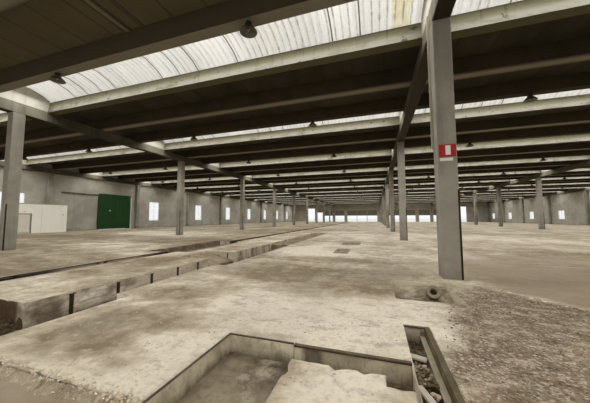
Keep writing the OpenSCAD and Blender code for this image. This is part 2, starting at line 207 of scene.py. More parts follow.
class NodeBook:
    """Adds the nodes of one material or of the world."""

    def __init__(self, holder: "bpy.types.Material | bpy.types.World") -> None:
        """Starts with an empty tree.

        Args:
            holder: The material or world that owns the tree.
        """
        holder.use_nodes = True
        self.holder = holder
        self.tree = holder.node_tree
        self.tree.nodes.clear()

    @classmethod
    def material(cls, name: str) -> "NodeBook":
        """Starts a new material of that name."""
        return cls(bpy.data.materials.new(name))

    def node(self, kind: str, settings: Optional[dict] = None, sockets: Optional[dict] = None) -> bpy.types.Node:
        """Adds any node.

        Args:
            kind: The node's type.
            settings: Its own properties, set first.
            sockets: Values or links of its inputs, by name or place.

        Returns:
            The new node.
        """
        node = self.tree.nodes.new(kind)
        for name, value in (settings or {}).items():
            setattr(node, name, value)
        for name, value in (sockets or {}).items():
            socket = node.inputs[name]
            if isinstance(value, Signal):
                self.tree.links.new(value.socket, socket)
            elif isinstance(value, bpy.types.NodeSocket):
                self.tree.links.new(value, socket)
            elif socket.type == "RGBA" and len(value) == 3:
                socket.default_value = (*value, 1.0)
            else:
                socket.default_value = value
        return node

    def place(self) -> bpy.types.NodeSocket:
        """Gives the Object coordinates."""
        return self.node("ShaderNodeTexCoord").outputs["Object"]

    def axes(self, vector: bpy.types.NodeSocket) -> tuple[Signal, Signal, Signal]:
        """Splits a vector into its three numbers."""
        node = self.node("ShaderNodeSeparateXYZ", None, {0: vector})
        return tuple(Signal(self, output) for output in node.outputs)

    def facing(self) -> tuple[Signal, Signal, Signal]:
        """Gives the three numbers of the surface's normal."""
        return self.axes(self.node("ShaderNodeNewGeometry").outputs["True Normal"])

    def stretched(self, vector: bpy.types.NodeSocket, scale: Point, shift: Point = (0, 0, 0)) -> bpy.types.NodeSocket:
        """Scales and shifts coordinates with a Mapping node."""
        node = self.node("ShaderNodeMapping", None, {"Vector": vector, "Scale": scale, "Location": shift})
        return node.outputs[0]

    def cloud(self, vector: bpy.types.NodeSocket, scale: float, detail: float = 3.0, rough: float = 0.55) -> Signal:
        """Gives fractal noise around 0.5."""
        node = self.node(
            "ShaderNodeTexNoise", {"noise_dimensions": "3D"},
            {"Vector": vector, "Scale": scale, "Detail": detail, "Roughness": rough},
        )
        return Signal(self, node.outputs[0])

    def cells(self, vector: bpy.types.NodeSocket, scale: float) -> Signal:
        """Gives the distance to the nearest of scattered points."""
        node = self.node("ShaderNodeTexVoronoi", {"feature": "F1"}, {"Vector": vector, "Scale": scale})
        return Signal(self, node.outputs["Distance"])

    def chance(self, value: Signal) -> Signal:
        """Gives a random number for each whole value."""
        node = self.node("ShaderNodeTexWhiteNoise", {"noise_dimensions": "1D"}, {"W": value})
        return Signal(self, node.outputs["Value"])

    def blob(self, vector: bpy.types.NodeSocket, middle: Flat, radii: Flat, ragged: Signal,
             turn: float = 0.0, soft: float = 0.35) -> Signal:
        """Marks an oval patch of the ground with a ragged rim.

        Args:
            vector: The Object coordinates.
            middle: The patch's middle along X and Y.
            radii: Its half widths.
            ragged: Noise around 0 that bends the rim.
            turn: Its turn about the vertical, in degrees.
            soft: How wide the rim fades, as a share of the radius.

        Returns:
            1 inside, 0 outside.
        """
        local = self.node(
            "ShaderNodeMapping", {"vector_type": "TEXTURE"},
            {"Vector": vector, "Location": (*middle, 0.0), "Rotation": (0.0, 0.0, math.radians(turn)),
             "Scale": (*radii, 1000.0)},
        )
        length = self.node("ShaderNodeVectorMath", {"operation": "LENGTH"}, {0: local.outputs[0]})
        return (Signal(self, length.outputs["Value"]) + ragged).step_between(1.0 + soft, 1.0 - soft)

    def stroke(self, along_x: Signal, along_y: Signal, start: Flat, end: Flat, half: float, soft: float) -> Signal:
        """Marks a straight line on the ground, such as a joint or a crack.

        Args:
            along_x: The X coordinate, bent by noise if the line is crooked.
            along_y: The Y coordinate.
            start: One end.
            end: The other end.
            half: Half the line's width.
            soft: How wide its rim fades.

        Returns:
            1 on the line, 0 off it.
        """
        run_x, run_y = end[0] - start[0], end[1] - start[1]
        length = math.hypot(run_x, run_y)
        from_x, from_y = along_x - start[0], along_y - start[1]
        share = (from_x * (run_x / length ** 2) + from_y * (run_y / length ** 2)).band(0.5, 0.48, 0.03)
        off = (from_x * (run_y / length) - from_y * (run_x / length)).size()
        return off.step_between(half + soft, half) * share

    def blend(self, share: "Signal | float", first: object, second: object) -> bpy.types.NodeSocket:
        """Mixes two colours.

        Args:
            share: How much of the second colour shows.
            first: A colour or a colour socket.
            second: A colour or a colour socket.

        Returns:
            The mixed colour.
        """
        sockets = {0: share, 6: first, 7: second}
        return self.node("ShaderNodeMix", {"data_type": "RGBA"}, sockets).outputs[2]

    def relief(self, height: Signal, depth: float, under: Optional[bpy.types.NodeSocket] = None) -> bpy.types.NodeSocket:
        """Turns a height into a bumped normal.

        Args:
            height: The height, from 0 to 1.
            depth: How many metres the height of 1 stands for.
            under: A normal to add it to.

        Returns:
            The normal.
        """
        sockets = {"Height": height, "Distance": depth, "Strength": 1.0}
        if under is not None:
            sockets["Normal"] = under
        return self.node("ShaderNodeBump", None, sockets).outputs[0]

    def coat(self, base: object, rough: object, normal: Optional[bpy.types.NodeSocket] = None,
             **more: object) -> bpy.types.Node:
        """Adds the Principled shader.

        Args:
            base: The base colour.
            rough: The roughness.
            normal: A bumped normal.
            more: Other inputs, with spaces written as underscores.

        Returns:
            The shader node.
        """
        sockets = {"Base Color": base, "Roughness": rough}
        if normal is not None:
            sockets["Normal"] = normal
        sockets.update({name.replace("_", " "): value for name, value in more.items()})
        return self.node("ShaderNodeBsdfPrincipled", None, sockets)

    def finish(self, shader: bpy.types.Node) -> bpy.types.Material:
        """Joins a shader to the material's output and gives the material."""
        self.node("ShaderNodeOutputMaterial", None, {"Surface": shader.outputs[0]})
        return self.holder


# Finishes


@dataclass(frozen=True)
class Concrete:
    """Grey cast concrete with clouds, pores, run marks and dirt at its foot, and, where asked, painted shade: darker
    bands where the roof elements bear on the girders and darker downward faces.
    """

    name: str
    light: Colour
    dark: Colour
    grime_and_shade: Colour
    run_marks: float = 0.4
    foot: float = 0.0
    floor_z: float = 0.08
    rough: float = 0.9
    top: Optional[Colour] = None
    under: Optional[Colour] = None
    head_z: float = 0.0
    head: float = 0.16
    seam_z: float = 0.0
    shade_start: float = 0.0
    shade_pitch: float = 0.0
    shade_width: float = 0.0
    panel_start: float = 0.0
    panel_pitch: float = 0.0
    panel_gap: float = 0.005

    def make(self) -> bpy.types.Material:
        """Builds the material."""
        book = NodeBook.material(self.name)
        place = book.place()
        along_x, along_y, up = book.axes(place)
        nx, ny, nz = book.facing()
        cloud = book.cloud(place, 2.6, 4.0)
        patch = book.cloud(book.stretched(place, (1, 1, 1), (5, 3, 1)), 11.0, 4.0, 0.6)
        tint = book.blend((cloud * 0.6 + patch * 0.4).step_between(0.38, 0.62), self.dark, self.light)
        runs = book.cloud(book.stretched(place, (34, 34, 1.8)), 1.0, 4.0, 0.65)
        tint = book.blend((runs.step_between(0.5, 0.78) * self.run_marks).clamped(), tint, self.grime_and_shade)
        pores = book.cells(place, 170.0).step_between(0.22, 0.08)
        rare = book.cloud(place, 16.0, 2.0).step_between(0.5, 0.64)
        tint = book.blend(pores * rare * 0.5, tint, self.grime_and_shade)
        if self.foot:
            splash = (up + (patch - 0.5) * 0.08).step_between(self.floor_z + self.foot, self.floor_z)
            tint = book.blend(splash * 0.32, tint, self.grime_and_shade)
        if self.head_z:
            above = (up + (patch - 0.5) * 0.1).step_between(self.head_z - self.head, self.head_z)
            tint = book.blend(above * 0.55, tint, self.grime_and_shade)
        # Painted shade: darker bands along the girders under the roof elements, in the grime colour.
        if self.shade_pitch:
            local = ((along_y - self.shade_start) / self.shade_pitch).part() * self.shade_pitch
            painted_shade = local.band(self.shade_width / 2, self.shade_width / 2 - 0.05, 0.13)
            tint = book.blend((painted_shade * (0.42 + patch * 0.4)).clamped(), tint, self.grime_and_shade)
        if self.panel_pitch:
            outside = ((along_x.size() > 3.895) * nx.size() + (along_y.size() > 6.615) * ny.size()).clamped()
            turn = (along_y * nx.size() + along_x * ny.size() - self.panel_start) / self.panel_pitch
            edge = self.panel_gap / self.panel_pitch
            tint = book.blend(outside * book.chance(turn.whole()) * 0.5, tint, self.dark)
            washed = book.cloud(book.stretched(place, (24, 24, 1.1)), 1.0, 4.0, 0.65).step_between(0.48, 0.7)
            tint = book.blend(outside * washed * up.step_between(0.45, 0.93) * 0.6, tint, self.grime_and_shade)
            tint = book.blend(outside * (1 - turn.part().band(0.5, 0.5 - edge, edge * 0.4)) * 0.85, tint, self.grime_and_shade)
        # Painted shade: faces that look down take the darker under colour.
        if self.under is not None:
            tint = book.blend(nz.step_between(-0.5, -0.9), tint, self.under)
        if self.seam_z:
            tint = book.blend(up.band(self.seam_z, 0.0010, 0.0012) * 0.85, tint, self.grime_and_shade)
        if self.top is not None:
            soot_and_shade = book.cloud(place, 3.0, 5.0, 0.65).step_between(0.35, 0.7)
            tint = book.blend(nz.step_between(0.7, 0.9), tint, book.blend(soot_and_shade * 0.6, self.top, self.dark))
        fine = book.cloud(place, 95.0, 4.0, 0.65)
        height = fine * 0.5 + cloud * 0.5 - pores * rare * 0.4
        return book.finish(book.coat(tint, self.rough, book.relief(height, 0.0011), Specular_IOR_Level=0.25))


@dataclass(frozen=True)
class RoofConcrete:
    """Ribbed roof elements with painted light and shade: soffits painted dark as shade, lighter near the viewer as
    painted light, with board marks and a painted shadow line along the lips; outer lips painted bright as daylit, below
    greyer kerbs painted darker as shade; and a weathered top.
    """

    first_start: float
    pitch: float
    width: float
    lip_low: float
    lip_high: float
    name: str = "roof_concrete"
    # The soffit colours are painted far darker than the concrete of the top, as painted shade; the lighter colours of
    # the near soffits, the lip feet near the viewer, the centre rib's underside and the outer lips are painted light,
    # and the colours of the kerbs and the side webs are painted shade.
    soffit: Colour = colour("403b2b")
    soffit_dark: Colour = colour("2a261a")
    painted_lit_soffit: Colour = colour("645c48")
    shaded_web_and_marks: Colour = colour("332b1e")
    painted_lit_rib_underside: Colour = colour("857d6c")
    painted_lit_lip: Colour = colour("79756a")
    lip_dark: Colour = colour("5f5b4c")
    shaded_kerb: Colour = colour("67634f")
    painted_lit_lip_foot: Colour = colour("54503a")
    painted_lit_nearest_lip_foot: Colour = colour("777263")
    painted_lit_nearest_web: Colour = colour("40382a")
    # Near-black for the board marks and for the painted shadow line along the lips.
    soot_and_shade: Colour = colour("1d180f")
    top: Colour = colour("8b8679")
    lean: float = 0.012
    near_from: float = -3.95
    near_to: float = -4.3

    def make(self) -> bpy.types.Material:
        """Builds the material."""
        book = NodeBook.material(self.name)
        place = book.place()
        along_x, along_y, up = book.axes(place)
        nx, ny, nz = book.facing()
        turn = (along_y - self.first_start) / self.pitch
        local = turn.part() * self.pitch
        tone = book.chance(turn.whole() + (along_x * 0.5154).whole() * 31.0)
        cloud = book.cloud(place, 3.0, 4.0)
        patch = book.cloud(book.stretched(place, (3, 1, 1), (4, 0, 0)), 3.2, 5.0, 0.62)
        # Painted light: soffits near the viewer blend towards a lighter colour.
        near = along_y.step_between(self.near_from, self.near_to)
        tint = book.blend((cloud * 0.5 + patch * 0.5).step_between(0.4, 0.62), self.soffit_dark, self.soffit)
        tint = book.blend(tone * 0.35, tint, self.soffit_dark)
        tint = book.blend(near * (0.75 + patch * 0.4 - 0.2), tint, self.painted_lit_soffit)
        marks = book.node(
            "ShaderNodeTexWave", {"wave_type": "BANDS", "bands_direction": "X", "wave_profile": "SAW"},
            {"Vector": place, "Scale": 2.4, "Distortion": 0.5, "Detail": 2.0, "Detail Scale": 1.0},
        )
        joint = Signal(book, marks.outputs["Fac"]).step_between(0.91, 0.99)
        tint = book.blend(joint * 0.45, tint, self.soot_and_shade)
        # Painted shade: a dark shadow line on the soffit along the inside of each lip.
        line = local.band(self.width / 2, self.width / 2 - 0.0445, 0.0035)
        tint = book.blend((1 - line) * (up > self.lip_low + 0.02) * 0.8, tint, self.soot_and_shade)
        # Undersides: the centre rib's is painted lighter as painted light, and the lips' feet near the viewer are
        # lighter as painted light.
        low = up < self.lip_low + 0.01
        rib = local.band(self.width / 2 + 0.004, 0.006, 0.026)
        beside = local.band(self.width / 2, 0.1, 0.01)
        foot = book.blend(along_y.step_between(-3.6, -4.0) * (1 - beside), self.shaded_web_and_marks, self.painted_lit_lip_foot)
        nearest = along_y.step_between(-4.15, -4.25)
        foot = book.blend(nearest * (1 - beside), foot, self.painted_lit_nearest_lip_foot)
        bottom = book.blend(rib, foot, book.blend(cloud * 0.5, self.painted_lit_rib_underside, self.shaded_web_and_marks))
        tint = book.blend(low, tint, bottom)
        # Side faces are painted dark as shade and lighter on the nearest elements as painted light; the same dark
        # colour also serves the real drips and chips.
        side = nz.size().step_between(0.6, 0.3)
        face = book.blend(patch.step_between(0.4, 0.65), self.shaded_web_and_marks, self.soffit_dark)
        tint = book.blend(side, tint, book.blend(nearest * (0.5 + patch * 0.6), face, self.painted_lit_nearest_web))
        # Outer lip faces are painted bright as daylit, with real drips and chips.
        outer = ((local < self.lean) + (local > self.width - self.lean)).clamped() * side
        spots = book.cloud(book.stretched(place, (9, 3, 26)), 1.0, 4.0, 0.65)
        bright = book.blend(spots.step_between(0.46, 0.7), self.painted_lit_lip, self.lip_dark)
        shaded_kerb = book.blend(spots.step_between(0.5, 0.72) * 0.6, self.shaded_kerb, self.lip_dark)
        # Painted shade: the upper kerb band of each outer lip is darker, under the skylight's edge.
        edge = (up + (spots - 0.5) * 0.010).step_between(self.lip_high - 0.016, self.lip_high + 0.004)
        bright = book.blend(edge, bright, shaded_kerb)
        drips = book.cloud(book.stretched(place, (70, 3, 4)), 1.0, 3.0, 0.6).step_between(0.58, 0.74)
        chipped = book.cloud(book.stretched(place, (26, 5, 34), (7, 0, 0)), 1.0, 4.0, 0.7).step_between(0.61, 0.68)
        bright = book.blend(drips * 0.45, bright, self.shaded_web_and_marks)
        bright = book.blend(chipped * 0.8, bright, self.shaded_web_and_marks)
        tint = book.blend(outer, tint, bright)
        weather = book.cloud(place, 3.0, 5.0, 0.65).step_between(0.35, 0.7)
        tint = book.blend(nz.step_between(0.7, 0.9), tint, book.blend(weather, self.top, self.lip_dark))
        fine = book.cloud(place, 80.0, 4.0, 0.65)
        height = fine * 0.4 + cloud * 0.4 - joint * 0.5
        return book.finish(book.coat(tint, 0.9, book.relief(height, 0.0012), Specular_IOR_Level=0.2))


@dataclass(frozen=True)
class FloorDust:
    """The worn floor: pale dust, brown and grey patches, tracks, cracks and a gravelly field on the right, with painted
    shade on the trench walls towards their foot, in the groove and along its rim, and at the trench mouths.
    """

    floor_z: float
    viewer_y: float
    name: str = "worn_floor"
    pale: Colour = colour("dcd1bc")
    middle: Colour = colour("b3a58d")
    brown: Colour = colour("81725b")
    grey: Colour = colour("958d7a")
    dark: Colour = colour("4b4031")
    painted_shade_black: Colour = colour("170f06")
    side: Colour = colour("e6dbc5")
    gravel: Colour = colour("8c7962")
    rosy: Colour = colour("8b7a65")
    clod: Colour = colour("523f29")
    crumb: Colour = colour("cdc1a6")
    sunk_brown: Colour = colour("80705a")
    groove_x: float = -1.128
    broken_x: float = -1.218
    trench_x: float = -0.81

    def ground_shares(self, book: NodeBook, place: bpy.types.NodeSocket, warp: Signal) -> tuple[Signal, Signal]:
        """Gives how pale and how brown the floor is, patch by patch.

        Args:
            book: The material's book.
            place: The Object coordinates.
            warp: Noise around 0 for ragged rims.

        Returns:
            The pale share and the brown share, each around 0.
        """
        base = self.viewer_y
        pale_spots = (
            ((-0.28, base + 0.42), (0.26, 0.11), 0), ((-0.16, base + 0.45), (0.14, 0.09), 0),
            ((-0.42, base + 0.25), (0.06, 0.10), 10), ((-0.22, base + 0.02), (0.05, 0.3), 0),
            ((-0.10, base + 0.43), (0.05, 0.12), 10),
            ((-0.45, base + 1.25), (0.25, 0.18), 0), ((-1.6, base + 0.9), (0.4, 0.35), 0),
            ((0.1, base + 2.4), (0.8, 0.35), 10), ((-2.3, base + 2.2), (0.7, 0.4), -15),
        )
        brown_spots = (
            ((-0.36, base + 0.70), (0.30, 0.13), -6), ((-0.54, base + 0.36), (0.07, 0.04), 35),
            ((-0.58, base + 0.25), (0.045, 0.022), 0), ((-0.12, base + 0.62), (0.14, 0.05), -10),
            ((-0.30, base + 0.98), (0.2, 0.06), 0), ((-0.70, base + 0.95), (0.06, 0.2), 0),
            ((-1.5, base + 1.5), (0.35, 0.2), 15), ((-0.9, base + 3.4), (0.6, 0.35), 0),
            ((0.55, base + 1.35), (0.35, 0.2), 0), ((-2.7, base + 1.6), (0.5, 0.3), 0),
            ((-0.50, base + 0.33), (0.10, 0.035), 0), ((-0.47, base + 0.235), (0.045, 0.022), -20),
            ((-0.60, base + 0.45), (0.10, 0.05), 10), ((-1.35, base + 0.75), (0.2, 0.10), 0),
            ((-0.98, base + 0.80), (0.07, 0.12), 0), ((-2.0, base + 0.9), (0.4, 0.12), 0),
            ((-0.54, base + 0.26), (0.07, 0.06), 0), ((-1.9, base + 0.55), (0.8, 0.3), 0),
            ((-1.45, base + 0.45), (0.3, 0.25), 0), ((-0.97, base + 0.62), (0.13, 0.16), 0),
        )
        shares = []
        for spots in (pale_spots, brown_spots):
            total = None
            for middle, radii, turn in spots:
                mark = book.blob(place, middle, radii, warp, turn, 0.45)
                total = mark if total is None else total + mark
            shares.append(total.clamped())
        return shares[0], shares[1]

    def gravel_field(self, book: NodeBook, along_x: Signal, ahead: Signal, warp: Signal) -> tuple[Signal, Signal]:
        """Marks the gravelly field and the smooth rosy ground beyond it.

        Args:
            book: The material's book.
            along_x: The X coordinate.
            ahead: The distance in front of the viewer.
            warp: Noise around 0.

        Returns:
            The gravel's mask and the rosy ground's mask.
        """
        bent = warp * 0.11
        left = (along_x + bent - ahead * 0.22).step_between(-0.215, -0.165)
        upper = (ahead + along_x * 1.0 + bent * 0.5)
        inside = upper.step_between(0.765, 0.72)
        start = (ahead - along_x * 1.3 + bent).step_between(0.70, 0.64)
        gravel = left * inside * start
        rosy = upper.step_between(0.73, 0.78) * (along_x + bent).step_between(0.02, 0.1) * ahead.step_between(1.5, 0.9)
        return gravel, rosy

    def make(self) -> bpy.types.Material:
        """Builds the material."""
        book = NodeBook.material(self.name)
        place = book.place()
        along_x, along_y, up = book.axes(place)
        nx, ny, nz = book.facing()
        ahead = along_y - self.viewer_y
        wide = book.cloud(book.stretched(place, (1.0, 0.8, 1.0)), 1.6, 4.0, 0.6)
        tracks = book.cloud(book.stretched(place, (5.0, 1.3, 3.0), (2, 7, 0)), 1.0, 5.0, 0.6)
        patches = book.cloud(book.stretched(place, (7, 11, 7), (1, 5, 0)), 1.0, 6.0, 0.62)
        mottle = book.cloud(place, 26.0, 6.0, 0.68)
        fine = book.cloud(place, 75.0, 5.0, 0.72)
        grit = book.cloud(place, 210.0, 3.0, 0.75)
        warp = (book.cloud(book.stretched(place, (1, 1, 1), (2, 2, 0)), 7.0, 5.0, 0.65) - 0.5) * 1.6
        pale_share, brown_share = self.ground_shares(book, place, warp)
        level = wide * 0.20 + tracks * 0.22 + patches * 0.34 + mottle * 0.24 + (brown_share - pale_share) * 0.075
        level = level + (along_x < self.groove_x) * 0.055
        tint = book.blend(level.step_between(0.42, 0.53), self.pale, self.middle)
        tint = book.blend(level.step_between(0.50, 0.64), tint, self.brown)
        greys = book.cloud(book.stretched(place, (1, 1, 1), (8, 1, 0)), 5.5, 5.0, 0.62)
        tint = book.blend(greys.step_between(0.48, 0.66) * 0.5, tint, self.grey)
        tint = book.blend(fine.step_between(0.48, 0.7) * 0.5, tint, self.brown)
        tint = book.blend(fine.step_between(0.46, 0.28) * 0.5, tint, self.pale)
        flecks = book.cells(place, 150.0).step_between(0.3, 0.12) * mottle.step_between(0.46, 0.6)
        tint = book.blend(flecks * 0.45, tint, self.brown)
        tint = book.blend(grit.step_between(0.56, 0.76) * 0.18, tint, self.dark)
        crumbly = None
        for middle, radii in (((-0.24, 0.37), (0.17, 0.06)), ((-0.11, 0.47), (0.09, 0.10)), ((-0.03, 0.22), (0.05, 0.30)),
                              ((-0.18, 0.44), (0.18, 0.07)),
                              ((-0.47, 0.185), (0.14, 0.014)), ((-0.40, 0.24), (0.035, 0.09)), ((-0.33, 0.45), (0.12, 0.05))):
            mark = book.blob(place, (middle[0], self.viewer_y + middle[1]), radii, warp, 0.0, 0.5)
            crumbly = mark if crumbly is None else crumbly + mark
        crumbly = crumbly.clamped()
        lumpy = book.cloud(book.stretched(place, (1, 1, 1), (6, 2, 0)), 150.0, 4.0, 0.75)
        drift = book.cloud(book.stretched(place, (24, 40, 24), (4, 4, 0)), 1.0, 4.0, 0.7)
        tint = book.blend(crumbly * 0.62, tint, self.pale)
        tint = book.blend(crumbly * drift.step_between(0.50, 0.66) * 0.45, tint, self.brown)
        tint = book.blend(crumbly * lumpy.step_between(0.50, 0.70) * 0.42, tint, self.brown)
        tint = book.blend(crumbly * grit.step_between(0.54, 0.74) * 0.2, tint, self.dark)
        litter = None
        for middle, radii in (((-2.24, 1.17), (0.10, 0.012)), ((-2.37, 1.53), (0.16, 0.018)), ((-2.12, 1.75), (0.26, 0.010)),
                              ((-2.54, 1.24), (0.12, 0.010)), ((-1.89, 1.23), (0.16, 0.008)), ((-2.9, 1.6), (0.25, 0.016))):
            mark = book.blob(place, (middle[0], self.viewer_y + middle[1]), radii, warp, 0.0, 0.6)
            litter = mark if litter is None else litter + mark
        tint = book.blend((litter * 0.75).clamped(), tint, self.dark)

        gravel, rosy = self.gravel_field(book, along_x, ahead, warp)
        smooth = book.blend(mottle.step_between(0.42, 0.66) * 0.5, self.rosy, self.gravel)
        tint = book.blend(rosy * 0.88, tint, smooth)
        stones = book.cells(place, 150.0)
        small = book.cells(book.stretched(place, (1, 1, 1), (3, 1, 0)), 260.0)
        speck = stones.step_between(0.38, 0.16) * book.cloud(place, 60.0, 2.0).step_between(0.42, 0.54)
        bits = small.step_between(0.36, 0.15) * book.cloud(place, 95.0, 2.0).step_between(0.42, 0.54)
        near = (ahead * 1.0).step_between(0.62, 0.35)
        gritty = book.blend(patches.step_between(0.42, 0.6) * 0.8, self.gravel, self.brown)
        gritty = book.blend((1 - near) * 0.8, gritty, self.sunk_brown)
        gritty = book.blend(mottle.step_between(0.48, 0.62) * 0.35, gritty, self.dark)
        chips = book.cloud(book.stretched(place, (1, 1, 1), (3, 8, 0)), 215.0, 4.0, 0.75)
        clods = book.cloud(book.stretched(place, (1, 1, 1), (9, 4, 0)), 165.0, 4.0, 0.75)
        gritty = book.blend(clods.step_between(0.50, 0.64) * 0.75, gritty, self.clod)
        gritty = book.blend(chips.step_between(0.50, 0.66) * (0.42 + near * 0.25), gritty, self.pale)
        gritty = book.blend(drift.step_between(0.50, 0.68) * 0.6, gritty, self.crumb)
        gritty = book.blend(drift.step_between(0.49, 0.33) * 0.7, gritty, self.clod)
        gritty = book.blend(speck * 0.7, gritty, self.pale)
        gritty = book.blend(bits * 0.6, gritty, self.clod)
        tint = book.blend(gravel * 0.96, tint, gritty)

        crook_x = along_x + (fine - 0.5) * 0.03
        crook_y = along_y + (mottle - 0.5) * 0.03
        cracks = book.stroke(crook_x, crook_y, (-0.677, self.viewer_y + 1.786), (-0.37, self.viewer_y + 1.70), 0.003, 0.006)
        for start, end in (((-3.6, 1.62), (-1.3, 1.30)), ((-0.35, 2.62), (0.6, 2.5)), ((0.3, 1.1), (1.5, 0.9)),
                           ((-0.6, 0.95), (-0.33, 0.90)), ((-1.02, 0.2), (-0.84, 0.23))):
            cracks = cracks + book.stroke(
                crook_x, crook_y, (start[0], self.viewer_y + start[1]), (end[0], self.viewer_y + end[1]), 0.0015, 0.004,
            )
        cracks = cracks.clamped()
        tint = book.blend(cracks * 0.65, tint, self.dark)

        upright = nz.size().step_between(0.6, 0.3)
        stain_and_shade = book.cloud(book.stretched(place, (14, 14, 22)), 1.0, 4.0, 0.62)
        layers = book.cloud(book.stretched(place, (9, 9, 120)), 1.0, 4.0, 0.65)
        wall = book.blend(stain_and_shade.step_between(0.44, 0.68) * 0.7, self.side, self.grey)
        wall = book.blend(stain_and_shade.step_between(0.52, 0.68) * 0.45, wall, self.brown)
        wall = book.blend(layers.step_between(0.50, 0.66) * 0.4, wall, self.brown)
        wall = book.blend(fine.step_between(0.50, 0.68) * 0.35, wall, self.brown)
        # Painted shade: the trench and pit walls darken towards their foot.
        wall = book.blend(up.step_between(self.floor_z - 0.028, self.floor_z - 0.058) * 0.8, wall, self.dark)
        # Painted shade: the groove's wall near black.
        painted_shade = along_x.band(self.groove_x, 0.004, 0.002)
        wall = book.blend(painted_shade * 0.95, wall, self.painted_shade_black)
        broken = along_x.band(self.broken_x - 0.003, 0.007, 0.004) * ahead.band(1.28, 0.29, 0.02)
        ragged = book.blend(fine.step_between(0.40, 0.58), self.dark, self.brown)
        wall = book.blend(broken * 0.85, wall, book.blend(mottle.step_between(0.42, 0.58) * 0.7, ragged, self.clod))
        wall = book.blend(ahead.band(0.71, 0.12, 0.08) * 0.5, wall, self.crumb)
        far_trench = (along_x > self.trench_x - 0.2) * (ahead + warp * 0.05).step_between(0.95, 1.08)
        teeth = book.cloud(book.stretched(place, (1, 26, 5)), 1.0, 4.0, 0.65).step_between(0.42, 0.62)
        wall = book.blend(far_trench * 0.7, wall, book.blend(teeth * 0.8, self.crumb, self.clod))
        sandy = (ahead + warp * 0.05).step_between(0.40, 0.32) * (along_x < self.trench_x + 0.01)
        wall = book.blend(sandy * stain_and_shade.step_between(0.35, 0.55) * 0.8, wall, self.brown)
        # Painted shade: the mouth of the side trench and the corner at the long trench's start, darkened with the clod
        # colour.
        mouth = ahead.band(0.312, 0.004, 0.003) * (along_x + (stain_and_shade - 0.5) * 0.03).step_between(-0.824, -0.838)
        start = (ahead + (stain_and_shade - 0.5) * 0.04).band(0.352, 0.018, 0.014) * along_x.band(self.trench_x, 0.004, 0.001)
        start = start * up.step_between(self.floor_z - 0.004, self.floor_z - 0.018)
        wall = book.blend((mouth * 0.9 + start * 0.6).clamped(), wall, self.clod)
        tint = book.blend(upright, tint, wall)
        # Painted shade: the floor's top along the groove's rim and along the broken edge darkened towards black.
        rim = along_x.band(self.groove_x - 0.004, 0.004, 0.003) * (0.6 + stain_and_shade * 0.8) + broken * (stain_and_shade * 1.2)
        tint = book.blend((rim * (1 - upright)).clamped(), tint, self.painted_shade_black)
        frayed = (along_x + (stain_and_shade - 0.5) * 0.12).band(-1.15, 0.07, 0.03) * (ahead + warp * 0.1).band(1.28, 0.29, 0.05)
        tint = book.blend(frayed * mottle.step_between(0.34, 0.54) * (1 - upright) * 0.9, tint, self.clod)
        sunk = up.step_between(self.floor_z - 0.010, self.floor_z - 0.020) * (1 - upright)
        bottom = book.blend(mottle.step_between(0.38, 0.62), self.sunk_brown, self.grey)
        bottom = book.blend(fine.step_between(0.52, 0.72) * 0.7, bottom, self.dark)
        tint = book.blend(sunk * 0.85, tint, bottom)

        height = fine * 0.5 + grit * 0.22 + mottle * 0.5 - cracks * 0.8
        normal = book.relief(height, 0.0024)
        pebbles = gravel * (speck * 0.9 - bits * 0.6 + grit * 0.5) + flecks * 0.25
        normal = book.relief(pebbles, 0.0030, normal)
        return book.finish(book.coat(tint, 0.94, normal, Specular_IOR_Level=0.2))


@dataclass(frozen=True)
class Rubble:
    """Sand, crumbled concrete and stones, with lumps of their own tone where it is coarse."""

    name: str
    pale: Colour
    middle: Colour
    dark: Colour
    grain: float = 60.0
    lumps: float = 0.5
    bump: float = 0.0012

    def make(self) -> bpy.types.Material:
        """Builds the material."""
        book = NodeBook.material(self.name)
        place = book.place()
        scattered = book.node("ShaderNodeTexVoronoi", {"feature": "F1"}, {"Vector": place, "Scale": self.grain * 4.0})
        own = book.chance((book.axes(scattered.outputs["Position"])[0] * 917.0).whole())
        cloud = book.cloud(place, self.grain * 0.25, 5.0, 0.65)
        middle = book.cloud(place, self.grain, 5.0, 0.7)
        fine = book.cloud(place, self.grain * 4.0, 4.0, 0.72)
        tint = book.blend(cloud.step_between(0.36, 0.62) * 0.7, self.middle, self.dark)
        tint = book.blend(middle.step_between(0.48, 0.66) * 0.7, tint, self.pale)
        tint = book.blend((own > 0.6) * self.lumps, tint, self.pale)
        tint = book.blend((own < 0.2) * self.lumps, tint, self.dark)
        tint = book.blend(fine.step_between(0.5, 0.72) * 0.5, tint, self.dark)
        height = fine * 0.4 + middle * 0.6
        return book.finish(book.coat(tint, 0.95, book.relief(height, self.bump), Specular_IOR_Level=0.15))


